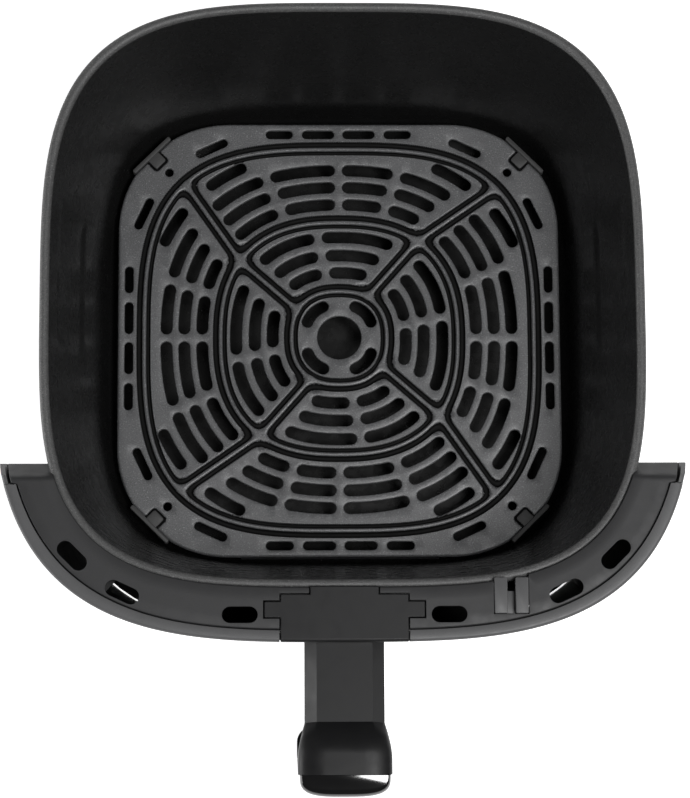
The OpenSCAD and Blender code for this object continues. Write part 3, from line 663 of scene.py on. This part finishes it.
def groove_share(x, y):
    """How far across the groove a point is: 0 in its middle, 1 at its edge and beyond."""
    d, outside = ridge_distance(x, y)
    middle = GROOVE_IN[0] + (GROOVE_OUT[0] - GROOVE_IN[0]) * outside
    half = GROOVE_IN[1] + (GROOVE_OUT[1] - GROOVE_IN[1]) * outside
    return np.clip(np.abs(d - middle) / half, 0, 1), d


def notch_share(x, y):
    """The outline sunk round each bumper's nub, whose dark colour is painted shade."""
    return np.clip(1 - np.abs(nub_distance(x, y)) / NOTCH_HALF, 0, 1)


def plate_height(x, y):
    u, d = groove_share(x, y)
    crest = 0.3 * np.clip(1 - d / 1.1, 0, 1) ** 1.2
    return crest - GROOVE_DEPTH * (1 - u ** 4) - 1.1 * notch_share(x, y)


def inside_loop(loop, x, y):
    loop = np.array(loop)
    hit = np.zeros(len(x), bool)
    for (x0, y0), (x1, y1) in zip(loop, np.roll(loop, -1, axis=0)):
        if y0 == y1:
            continue
        crosses = ((y0 > y) != (y1 > y)) & (x < (x1 - x0) * (y - y0) / (y1 - y0) + x0)
        hit ^= crosses
    return hit


def network_points():
    """Points on and beside every ridge, so that its two grooves are smooth."""
    offsets = (0.0, 0.45, 0.8, 1.05, 1.35, 1.75, 2.15, 2.5, 2.85, 3.2, 3.55, 3.85, 4.3)
    lines = []
    for r, n in RIDGE_RINGS:
        count = int(2 * math.pi * r * UNIT * 1.08)
        lines.append(np.array([super_point(r * UNIT, r * UNIT, n, 2 * math.pi * i / count)
                               for i in range(count)]))
    for _, p, q in rib_ends():
        count = int(np.linalg.norm(q - p))
        lines.append(np.array([p + (q - p) * i / count for i in range(count + 1)]))
    pts = []
    for line in lines:
        closed = np.linalg.norm(line[0] - line[-1]) < 3
        tangent = np.roll(line, -1, 0) - np.roll(line, 1, 0) if closed else np.gradient(line, axis=0)
        tangent /= np.linalg.norm(tangent, axis=1)[:, None]
        normal = np.c_[-tangent[:, 1], tangent[:, 0]]
        for off in offsets:
            for s in ((-1, 1) if off else (1,)):
                p = line + s * off * normal
                pts.append(p[ridge_parts(p[:, 0], p[:, 1])[0].min(axis=0) > off - 0.05])
    return np.vstack(pts)


def nub_points():
    """A fine net of points over each bumper's nub."""
    step = 0.4
    side = range(-12, 13)
    grid = np.array([(u * step, v * step) for u in side for v in side])
    out = []
    for k in range(4):
        a = math.radians(45 + 90 * k)
        c, s = math.cos(a), math.sin(a)
        u, v = grid[:, 0] + CHORD - 4.4, grid[:, 1]
        out.append(np.c_[c * u - s * v, s * u + c * v])
    return np.vstack(out)


def open_points():
    """A loose net of points away from the ridges and the nubs."""
    net = 5.0
    side = range(-21, 22)
    far = np.array([(i * net, j * net) for i in side for j in side])
    clear = ridge_parts(far[:, 0], far[:, 1])[0].min(axis=0)
    return far[(clear > 5.0) & (nub_distance(far[:, 0], far[:, 1]) > 2)]


def plate_points(openings):
    """Points of all three kinds that lie on the plate and not in its openings."""
    pts = np.vstack([network_points(), nub_points(), open_points()])
    keep = inside_loop(plate_loop(PLATE_SIDE[0][0] + 0.25), pts[:, 0], pts[:, 1])
    for opening in openings:
        keep &= ~inside_loop(opening(SLOT_SIDE[0][0] + 0.2), pts[:, 0], pts[:, 1])
    return pts[keep]


def plate_net(openings):
    """Triangles over the plate's top: points, faces, and the points of each outline."""
    loops = [plate_loop(PLATE_SIDE[0][0])] + [opening(SLOT_SIDE[0][0]) for opening in openings]
    flat, edges, spans = [], [], []
    for loop in loops:
        start = len(flat)
        flat += [Vector(p) for p in loop]
        edges += [(start + i, start + (i + 1) % len(loop)) for i in range(len(loop))]
        spans.append(range(start, start + len(loop)))
    flat += [Vector(p) for p in plate_points(openings)]
    out_v, _, out_f, orig, _, _ = delaunay_2d_cdt(flat, edges, [], 0, 1e-4)
    where = {}
    for i, sources in enumerate(orig):
        for s in sources:
            where[s] = i
    xy = np.array([tuple(v) for v in out_v])
    mid = np.array([xy[list(f)].mean(0) for f in out_f])
    keep = inside_loop(loops[0], mid[:, 0], mid[:, 1])
    for loop in loops[1:]:
        keep &= ~inside_loop(loop, mid[:, 0], mid[:, 1])
    faces = [tuple(f) for f, k in zip(out_f, keep) if k]
    return xy, faces, [[where[i] for i in span] for span in spans]


def plate_skirts(base):
    """Turned-down edges on the four straight sides, their vertices numbered from base."""
    run = plate_half - PLATE_R - 6
    low, high = plate_low.z, plate_z - PLATE_T + 0.2
    count = 12
    m = count + 1
    verts, faces = [], []
    for k in range(4):
        for inset in (0.0, SKIRT_T):
            for z in (low, high):
                row = [(x, plate_half - inset) for x in evenly(-run, run, count)]
                verts += [(x, y, z) for x, y in turned(row, k)]
        a, b, c, d = (base + m * (4 * k + i) for i in range(4))
        for i in range(count):
            for p, q in ((a, b), (b, d), (d, c), (c, a)):
                faces.append((p + i, p + i + 1, q + i + 1, q + i))
        faces += [(a, b, d, c), (a + count, c + count, d + count, b + count)]
    return verts, faces


def paint_groove_shade(plate):
    """The grooves and the outlines of the nubs get the near-black material, painted shade in these recesses.
    """
    centres = np.array([tuple(p.center / MM) for p in plate.data.polygons])
    across, _ = groove_share(centres[:, 0], centres[:, 1])
    dark = (across < 0.93) | (notch_share(centres[:, 0], centres[:, 1]) > 0.3)
    for p, in_groove in zip(plate.data.polygons, dark):
        if in_groove and p.normal.z > 0:
            p.material_index = 1


def plate_piece():
    openings = [lambda g: circle_loop(0, 0, CENTRE_HOLE_R + g, 64)]
    for maker in slot_makers():
        for k in range(4):
            openings.append(lambda g, maker=maker, k=k: turned(maker(g), k))
    xy, faces, outlines = plate_net(openings)
    height = plate_height(xy[:, 0], xy[:, 1])
    top = [(x, y, plate_z + h) for (x, y), h in zip(xy, height)]
    verts = top + [(x, y, z - PLATE_T) for x, y, z in top]
    n = len(top)
    faces += [tuple(n + i for i in reversed(f)) for f in faces]
    sides = [(plate_loop, PLATE_SIDE)] + [(opening, SLOT_SIDE) for opening in openings]
    for (outline, profile), first in zip(sides, outlines):
        last = first
        for grow, drop in profile[1:]:
            loop = outline(grow)
            level = range(len(verts), len(verts) + len(loop))
            verts += [(x, y, plate_z + drop) for x, y in loop]
            faces += strip(last, level)
            last = level
        faces += strip(last, [n + i for i in first])
    skirt_verts, skirt_faces = plate_skirts(len(verts))
    plate = piece("crisper_plate_sheet", verts + skirt_verts, faces + skirt_faces, plate_coat,
                  "crisper", ["crisper_plate"], 62)
    plate.data.materials.append(groove_painted_shade)
    paint_groove_shade(plate)


# ---- bumpers ----
def rounded_box(x0, x1, y0, y1, z0, z1, r, steps=5):
    """Box with rounded upright corners and eased top and bottom edges."""
    ease = min(0.45, r * 0.6)
    loops = []
    for z, shrink in ((z0, ease), (z0 + ease, 0), (z1 - ease, 0), (z1 - 0.3 * ease, 0.3 * ease),
                      (z1, ease)):
        loop = []
        for cx, cy, start in ((x1 - r, y1 - r, 0), (x0 + r, y1 - r, 90), (x0 + r, y0 + r, 180),
                              (x1 - r, y0 + r, 270)):
            for i in range(steps + 1):
                a = math.radians(start + 90 * i / steps)
                loop.append((cx + (r - shrink) * math.cos(a), cy + (r - shrink) * math.sin(a), z))
        loops.append(loop)
    return rings(loops)


BAR_T, BAR_HALF = 2.1, 12.0      # the bar against the pan's corner
HOOK_LONG, HOOK_HALF, HOOK_T = 4.2, 6.5, 1.5   # the hook under the plate
BAR_IN = 0.6                     # how far nub and hook run into the bar


def bumper_pieces():
    for name, turn in (("front_left", -135), ("front_right", -45), ("back_left", 135),
                       ("back_right", 45)):
        low, high = corners(f"bumper_{name}")
        bar_in = BUMPER_AT + BAR_IN
        verts, faces = merged([
            rounded_box(BUMPER_AT, BUMPER_AT + BAR_T, -BAR_HALF, BAR_HALF, low.z, high.z - 0.6, 0.9),
            rounded_box(CHORD - NUB_LONG, bar_in, -NUB_HALF, NUB_HALF, plate_z - 0.2, plate_z + 0.75, 1.1),
            rounded_box(CHORD - HOOK_LONG, bar_in, -HOOK_HALF, HOOK_HALF, low.z, low.z + HOOK_T, 0.9),
        ])
        a = math.radians(turn)
        verts = [(x * math.cos(a) - y * math.sin(a), x * math.sin(a) + y * math.cos(a), z)
                 for x, y, z in verts]
        piece(f"silicone_bumper_{name}", verts, faces, silicone, "crisper", [f"bumper_{name}"])


# ---- collar ----
JOG_Y = -85.6                    # beyond it the collar reaches further out
JOG = 2.2
MOUNT_HALF = 27.6
EAR_HALF = mount_high.x
HEEL_HALF = 14.8
mount_back = mount_high.y
step_y = mount_back - 3.5
ear_y = (mount_back - 6.6, mount_back - 13.6)
VENTS = ((45.1, -142.8, 0), (95.7, -132.9, 25), (117.4, -117.0, 45))
VENT_LEN, VENT_W = 15.5, 7.2
AROUND_FRONT = 230               # steps along the crescent
PLAN_FRONT = -170.0              # the mount's plan is cut off here, past its bowed front
GUIDE_GAP = 0.3
UNDER_COLLAR = collar_z - SHELL - 1.5

# (share of the way out from the lip, drop) across the collar's top
COLLAR_TOP = ((0.0, 0.6), (0.012, 0.18), (0.03, 0.0), (0.35, 0.0), (0.7, 0.0), (0.97, 0.0),
              (0.988, 0.15), (1.0, 0.5))


def mount_outline(grow=0.0):
    """The stepped plan of the handle mount, without its bowed front."""
    g = grow
    right = [
        (HEEL_HALF + g, mount_back + g),
        (HEEL_HALF + g, step_y + g),
        (MOUNT_HALF + g, step_y + g),
        (MOUNT_HALF + g, ear_y[0] + g),
        (EAR_HALF + g, ear_y[0] + g),
        (EAR_HALF + g, ear_y[1] - g),
        (MOUNT_HALF + g, ear_y[1] - g),
        (MOUNT_HALF + g, PLAN_FRONT),
    ]
    return right + [(-x, y) for x, y in reversed(right)]


def collar_section(t):
    """The collar's section at a share of the way along the crescent."""
    _, y = crescent_point(fascia_rim, STRIP + SEAM, t)
    out = STRIP + SEAM - (JOG if y > JOG_Y else 0)
    (ox, oy), (ix, iy) = crescent_point(fascia_rim, out, t), crescent_point(lip_rim, 0, t)
    section = []
    for share, drop in COLLAR_TOP:
        x, y = ix + (ox - ix) * share, iy + (oy - iy) * share
        section.append((x, y, end_cap_z(y) - drop))
    # a thin shell: outer wall, then the underside back to the lip over the rim
    wx, wy = ox + (ix - ox) * SHELL / 20, oy + (iy - oy) * SHELL / 20
    return section + [(ox, oy, WALL_LOW), (wx, wy, WALL_LOW), (wx, wy, end_cap_z(wy) - SHELL),
                      (ix, iy, end_cap_z(iy) - SHELL)]


def collar_tools():
    """What is cut from the collar: vents, the mount's place, and the guide's opening."""
    tools = [prism(capsule(s * x, y, s * turn, VENT_LEN, VENT_W), CUT_LOW, CUT_HIGH)
             for x, y, turn in VENTS for s in (-1, 1)]
    tools.append(prism(mount_outline(COVER_GAP), UNDER_COLLAR, CUT_HIGH))
    tools.append(block(-MOUNT_HALF, MOUNT_HALF, BEYOND_FRONT, -137, CUT_LOW, CUT_HIGH))
    tools.append(block(guide_low.x - GUIDE_GAP, guide_high.x + GUIDE_GAP, guide_low.y - GUIDE_GAP,
                       guide_high.y + 5, UNDER_COLLAR, CUT_HIGH))
    return tools


def collar_piece():
    verts, faces = rings([collar_section(t) for t in shares(AROUND_FRONT)])
    collar = piece("collar_cover", verts, faces, collar_plastic, None, smooth=40)
    cut(collar, collar_tools())
    soften(collar.data, 38)
    bevel(collar, 0.3, 2, 55)
    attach(collar, "drawer")
    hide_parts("collar")


# ---- fascia ----
def lean_in(z):
    return (collar_z - z) * LEAN


END_STRIP = STRIP - JOG - 0.8    # the strip is narrower beyond the jog, with a wider gap
END_DROP = 1.6                   # and lower
EDGE_R = 1.5                     # round along the fascia's top edge


def fascia_section():
    """(how far in, height) round the fascia's wall, up its outside and down its inside."""
    base_z = fascia_low.z
    outer = [(lean_in(z), z) for z in (base_z, 30, 60, 90, 105, 112, collar_z - 2.0)]
    start = lean_in(collar_z - EDGE_R)
    for i in range(1, 7):
        a = math.radians(90 * i / 6)
        outer.append((start + EDGE_R * (1 - math.cos(a)), collar_z - EDGE_R + EDGE_R * math.sin(a)))
    top = [(STRIP - 0.35, collar_z), (STRIP - 0.08, collar_z - 0.12), (STRIP, collar_z - 0.45),
           (STRIP, collar_z - 3)]
    inner = [(SHELL + lean_in(z), z) for z in (112, 90, 60, 30, base_z)]
    return outer + top + inner


def fascia_point(inset, z, t):
    x, y = crescent_point(fascia_rim, inset, t)
    if y > JOG_Y and inset > END_STRIP and z > collar_z - 4:
        x, y = crescent_point(fascia_rim, END_STRIP, t)
    if y > JOG_Y:
        z -= END_DROP * window(z, collar_z - 3, collar_z, 1.0)
    # heights past the limit stay a little apart, so that no faces lie on each other
    return x, y, min(z, end_cap_z(y) - (collar_z - z) * 0.02)


def fascia_piece():
    section = fascia_section()
    loops = [[fascia_point(inset, z, t) for inset, z in section] for t in shares(AROUND_FRONT)]
    verts, faces = rings(loops)
    fascia = piece("fascia_shell", verts, faces, fascia_plastic, None, smooth=34)
    gap = MOUNT_HALF + COVER_GAP
    cut(fascia, [block(-gap, gap, BEYOND_FRONT, -120, mount_low.z - SEAM, CUT_HIGH)])
    soften(fascia.data, 34)
    bevel(fascia, 0.25, 2, 60)
    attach(fascia, "drawer")
    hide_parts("fascia")


# ---- handle mount ----
MOUNT_T = 5.0                    # depth of the mount's front wall


def bow(x, inset):
    """Where the bowed front is at x."""
    half, depth = FASCIA_HALF - inset, FASCIA_FRONT - inset
    return -depth * (1 - (abs(x) / half) ** FASCIA_N) ** (1 / FASCIA_N)


def mount_piece():
    across = evenly(MOUNT_HALF, -MOUNT_HALF, 24)
    plan = [p for p in mount_outline() if p[1] > PLAN_FRONT]
    half = len(plan) // 2
    outline = plan[half:] + plan[:half] + [(x, bow(x, 1.6)) for x in across]
    plate = prism(outline, collar_z - SHELL, collar_z)
    section = (
        (lean_in(mount_low.z), mount_low.z),
        (lean_in(105), 105),
        (lean_in(collar_z - 1.6), collar_z - 1.6),
        (0.42, collar_z - 0.75),
        (0.8, collar_z - 0.28),
        (1.5, collar_z),
        (MOUNT_T, collar_z),
        (MOUNT_T, mount_low.z),
    )
    verts, faces = rings([[(x, bow(x, inset), z) for inset, z in section] for x in across])
    mount = piece("handle_mount_cover", verts, faces, handle_plastic, None, smooth=34)
    cut(mount, [plate], "UNION")
    soften(mount.data, 34)
    bevel(mount, 0.55, 3, 60)
    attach(mount, "drawer")
    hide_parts("handle_mount")


# ---- grip ----
HEAD_Y = neck_low.y              # where the neck meets the head
SEAM_OUT = 0.9                   # the seam is this much further out than the frame's grip
PIVOT_Y = grip_low.y - LEAN - SEAM_OUT   # the grip leans about the top of its front seam
PIVOT_Z = grip_high.z
GRIP_BASE = PIVOT_Z - 97.0       # lower end of the grip, before it leans
HEAD_RISE = 14.0                 # run of the head's rise over the neck
HEAD_FLARE = 17.3                # run over which it widens
HEAD_BEVEL = 7.0                 # how much wider than the neck's its rounded edges are
GRIP_D = 14.0 + SEAM_OUT
NECK_BEVEL = 5.2
UNDER_BEVEL = 3.0                # along the neck's lower edges
CORNER_R = 7.0
LOW_TURN = 13.0                  # height over which the neck turns into the lower grip
BASE_EASE = 0.4                  # round at the grip's lower end
GLOSS_DEEP = 9.6                 # the glossy front is deeper than in the frame
GLOSS_N = 3.4                    # its squareness in plan
GLOSS_ROUND = 4.2                # round at its upper end
GLOSS_EDGE = 1.2                 # chamfer at its lower end
GLOSS_SEAM = 0.12


def head_top(y):
    return neck_high.z + (grip_high.z - neck_high.z) * ease_out((HEAD_Y - y) / HEAD_RISE)


def seam_y(z):
    """Where the seam with the glossy front is at a height."""
    return PIVOT_Y + (PIVOT_Z - z) * LEAN


def leaned(x, y, z):
    """A point drawn upright, turned as the grip leans."""
    a = math.atan(LEAN)
    c, s = math.cos(a), math.sin(a)
    dy, dz = y - PIVOT_Y, z - PIVOT_Z
    return x, PIVOT_Y + dy * c - dz * s, PIVOT_Z + dy * s + dz * c


def flared(run):
    """Half width at a distance from where the grip is as narrow as the neck."""
    return neck_high.x + (grip_high.x - neck_high.x) * ease_out(run / HEAD_FLARE)


def head_half(y, z):
    """Half width of the head at a place along it and a height."""
    run = HEAD_Y - y
    edge = NECK_BEVEL + HEAD_BEVEL * smoothstep(run / HEAD_RISE)
    over = max(0.0, min(1.0, (z - head_top(y)) / NECK_BEVEL + 1))
    under = neck_base + UNDER_BEVEL - z
    # the neck's flat bevels turn into a rounded edge above and fade below
    turn = smoothstep(run / 8)
    w = flared(run) - edge * (over * (1 - turn) + (1 - math.sqrt(1 - over * over)) * turn)
    if under > 0 and z >= neck_base:
        w -= under * (1 - turn)
    return max(w, 0.5)


def back_edge(z):
    """Where the back of the head and of the grip under it is at a height."""
    back_low = seam_y(z) + GRIP_D
    if z < neck_base:
        share = min(1.0, (neck_base - z) / LOW_TURN)
        return back_low + (HEAD_Y - back_low) * (1 - math.sqrt(max(0.0, 1 - (1 - share) ** 2)))
    if z <= neck_high.z:
        return HEAD_Y
    share = (z - neck_high.z) / (grip_high.z - neck_high.z)
    return HEAD_Y - HEAD_RISE * math.asin(min(1.0, share)) * 2 / math.pi


def grip_levels():
    """Heights of the grip's rings, closer together where it turns."""
    base, low_z, bevel_z = grip_low.z, neck_base - LOW_TURN, neck_high.z - NECK_BEVEL
    rise = grip_high.z - neck_high.z
    levels = [base, base + 0.5] + evenly(base + 0.5, low_z - 1, 8)[1:] + evenly(low_z, neck_base, 12)[1:]
    levels += [neck_base + up for up in (1.5, UNDER_BEVEL, 6, 10)]
    levels += evenly(bevel_z, neck_high.z, 5)
    return levels + [neck_high.z + rise * math.sin(math.pi / 2 * i / 14) for i in range(1, 15)]


def grip_ring(z):
    """The grip's outline at a height, from its front seam round its back."""
    side, across = 18, 8
    back, front_y = back_edge(z), seam_y(min(z, grip_high.z - 1))
    low_z = neck_base - LOW_TURN
    mix = smoothstep((neck_base - z) / LOW_TURN)
    # the lower end is square to the leaning grip
    tilt = LEAN * smoothstep((low_z + 4 - z) / 30)
    right = []
    for i in range(side + 1):
        y = front_y + (back - front_y) * math.sin(math.pi / 2 * i / side)
        # the lower grip narrows towards its back as the head does, and its corners are round
        over = max(0.0, y - (back - CORNER_R))
        low = flared(back - y) - CORNER_R + math.sqrt(max(0.0, CORNER_R ** 2 - over ** 2))
        level = min(z, head_top(y)) if z > neck_base else neck_base + UNDER_BEVEL
        w = head_half(y, level) * (1 - mix) + low * mix
        if z - grip_low.z < BASE_EASE:
            w -= BASE_EASE
        right.append((w, y, z + (y - front_y) * tilt))
    front_w, _, front_z = right[0]
    back_w, back_y, back_z = right[-1]
    back_row = [(x, back_y, back_z) for x in evenly(back_w, -back_w, across)[1:-1]]
    front_row = [(x, front_y, front_z) for x in evenly(-front_w, front_w, across)[1:-1]]
    left = [(-x, y, h) for x, y, h in reversed(right)]
    return right + back_row + left + front_row


def grip_piece():
    verts, faces = rings([grip_ring(z) for z in grip_levels()])
    piece("grip_shell", verts, faces, grip_plastic, "drawer", ["grip_back"], 42)


def gloss_piece():
    base, top = GRIP_BASE, PIVOT_Z - 1.4
    round_z, edge_z = top - GLOSS_ROUND, base + GLOSS_EDGE
    levels = [base, base + 0.5] + evenly(edge_z, round_z, 10)
    levels += [round_z + GLOSS_ROUND * math.sin(math.pi / 2 * i / 8) for i in range(1, 9)]
    count = 48
    loops = []
    for z in levels:
        over = max(0.0, z - round_z)
        shrink = GLOSS_ROUND - math.sqrt(max(0.0, GLOSS_ROUND ** 2 - over ** 2))
        if z < edge_z:
            shrink = 0.5 * (edge_z - z)
        half, deep = gloss_high.x - 0.35 * shrink, GLOSS_DEEP - 0.9 * shrink + 0.02
        loop = []
        for i in range(count + 1):
            # a squarish half round: flat across the front, turned in at the sides
            x, y = super_point(half, deep, GLOSS_N, math.pi * i / count)
            loop.append(leaned(x, PIVOT_Y - GLOSS_SEAM - y, z))
        loops.append(loop)
    verts, faces = rings(loops)
    piece("grip_gloss_front", verts, faces, gloss_black, "drawer", ["grip_front"], 50)


# ---- interlock guide ----
GUIDE_BAR = 5.6


def guide_piece():
    bars = [rounded_box(x0, x0 + GUIDE_BAR, guide_low.y, guide_high.y + 0.4, collar_z - 3, guide_high.z, 0.6)
            for x0 in (guide_low.x, guide_high.x - GUIDE_BAR)]
    floor = rounded_box(guide_low.x, guide_high.x, guide_low.y, guide_high.y - 5,
                        guide_low.z, guide_low.z + 2, 0.5)
    verts, faces = merged(bars + [floor])
    piece("interlock_bars", verts, faces, fascia_plastic, "drawer", ["interlock_guide"])


pan_piece()
plate_piece()
bumper_pieces()
collar_piece()
fascia_piece()
mount_piece()
grip_piece()
gloss_piece()
guide_piece()

# ---- CAD nodes that stay, with their materials ----
# their material, its slot in the record, and the width of their eased edges
KEPT = {
    "inner_liner": (liner_plastic, "liner_plastic", 0.3),
    "heat_shield": (steel_sheet, "steel_sheet", 0),
    "bottom_cover": (liner_plastic, "liner_plastic", 0.3),
    "bracket_left": (black_steel, "black_steel", 0.2),
    "bracket_right": (black_steel, "black_steel", 0.2),
    "handle_bracket": (black_steel, "black_steel", 0.2),
    "neck_top": (handle_plastic, "handle_plastic", 0.9),
    "neck_bottom": (handle_plastic, "handle_plastic", 0.6),
    "handle_core": (steel_sheet, "steel_sheet", 0.2),
    "grip_cap": (handle_plastic, "handle_plastic", 0.6),
    "collar_screws": (black_steel, "black_steel", 0.2),
    "bracket_screws": (black_steel, "black_steel", 0.2),
    "cover_screws": (black_steel, "black_steel", 0.2),
    "handle_screws": (black_steel, "black_steel", 0.2),
    "grip_screws": (screw_steel, "screw_steel", 0.2),
}
for node, (mat, slot_name, ease) in KEPT.items():
    obj = NODES[node]
    obj.data.materials.clear()
    obj.data.materials.append(mat)
    if ease:
        bevel(obj, ease, 3, 30)


# ---- camera ----
CAMERA_AT = Vector((-0.025896, -0.312041, 1.459826))
CAMERA_TARGET = Vector((0.002552, -0.029372, 0.022))
CAMERA_ROLL = math.radians(5.535)
SENSOR = 36.0
LENS = 163.72174


def add_camera():
    data = bpy.data.cameras.new("camera")
    cam = bpy.data.objects.new("camera", data)
    bpy.context.scene.collection.objects.link(cam)
    place, roll = CAMERA_AT, CAMERA_ROLL
    forward = (CAMERA_TARGET - place).normalized()
    right = forward.cross(Vector((0, 0, 1))).normalized()
    up = right.cross(forward)
    r = math.cos(roll) * right + math.sin(roll) * up
    u = -math.sin(roll) * right + math.cos(roll) * up
    cam.matrix_world = Matrix((
        (r.x, u.x, -forward.x, place.x),
        (r.y, u.y, -forward.y, place.y),
        (r.z, u.z, -forward.z, place.z),
        (0, 0, 0, 1),
    ))
    data.sensor_fit = "HORIZONTAL"
    data.sensor_width = SENSOR
    data.lens = LENS
    data.clip_end = 20
    bpy.context.scene.camera = cam


def add_light(name, place, target, size, power, size_y=None):
    data = bpy.data.lights.new(name, "AREA")
    data.shape = "RECTANGLE"
    data.size = size
    data.size_y = size_y or size
    data.energy = power
    obj = bpy.data.objects.new(name, data)
    bpy.context.scene.collection.objects.link(obj)
    obj.location = place
    aim = Vector(target) - Vector(place)
    obj.rotation_mode = "QUATERNION"
    obj.rotation_quaternion = aim.to_track_quat("-Z", "Y")


FLOOR_HALF = 3.0
FLOOR_Z = -0.0003                # just under the part, so that their faces don't meet
FLOOR_GLOW = 0.9
WORLD_LIGHT = 0.12


def add_stage():
    half, z = FLOOR_HALF, FLOOR_Z
    verts = [(-half, -half, z), (half, -half, z), (half, half, z), (-half, half, z)]
    mesh = bpy.data.meshes.new("floor")
    mesh.from_pydata(verts, [], [(0, 1, 2, 3)])
    floor = bpy.data.objects.new("floor", mesh)
    bpy.context.scene.collection.objects.link(floor)
    paper = bpy.data.materials.new("floor_paper")
    paper.use_nodes = True
    shader = paper.node_tree.nodes["Principled BSDF"]
    shader.inputs["Base Color"].default_value = (0.93, 0.93, 0.93, 1)
    shader.inputs["Roughness"].default_value = 0.9
    shader.inputs["Emission Color"].default_value = (1, 1, 1, 1)
    shader.inputs["Emission Strength"].default_value = FLOOR_GLOW
    mesh.materials.append(paper)
    world = bpy.data.worlds.new("studio")
    world.use_nodes = True
    world.node_tree.nodes["Background"].inputs["Color"].default_value = (1, 1, 1, 1)
    world.node_tree.nodes["Background"].inputs["Strength"].default_value = WORLD_LIGHT
    bpy.context.scene.world = world
    bpy.context.scene.view_settings.view_transform = "Standard"


add_camera()
add_stage()
add_light("top", (0.52, -0.5, 1.7), (0, 0, 0), 0.6, 25)
add_light("left", (-1.6, -0.3, 0.3), (0, 0, 0.05), 1.4, 17, 0.8)
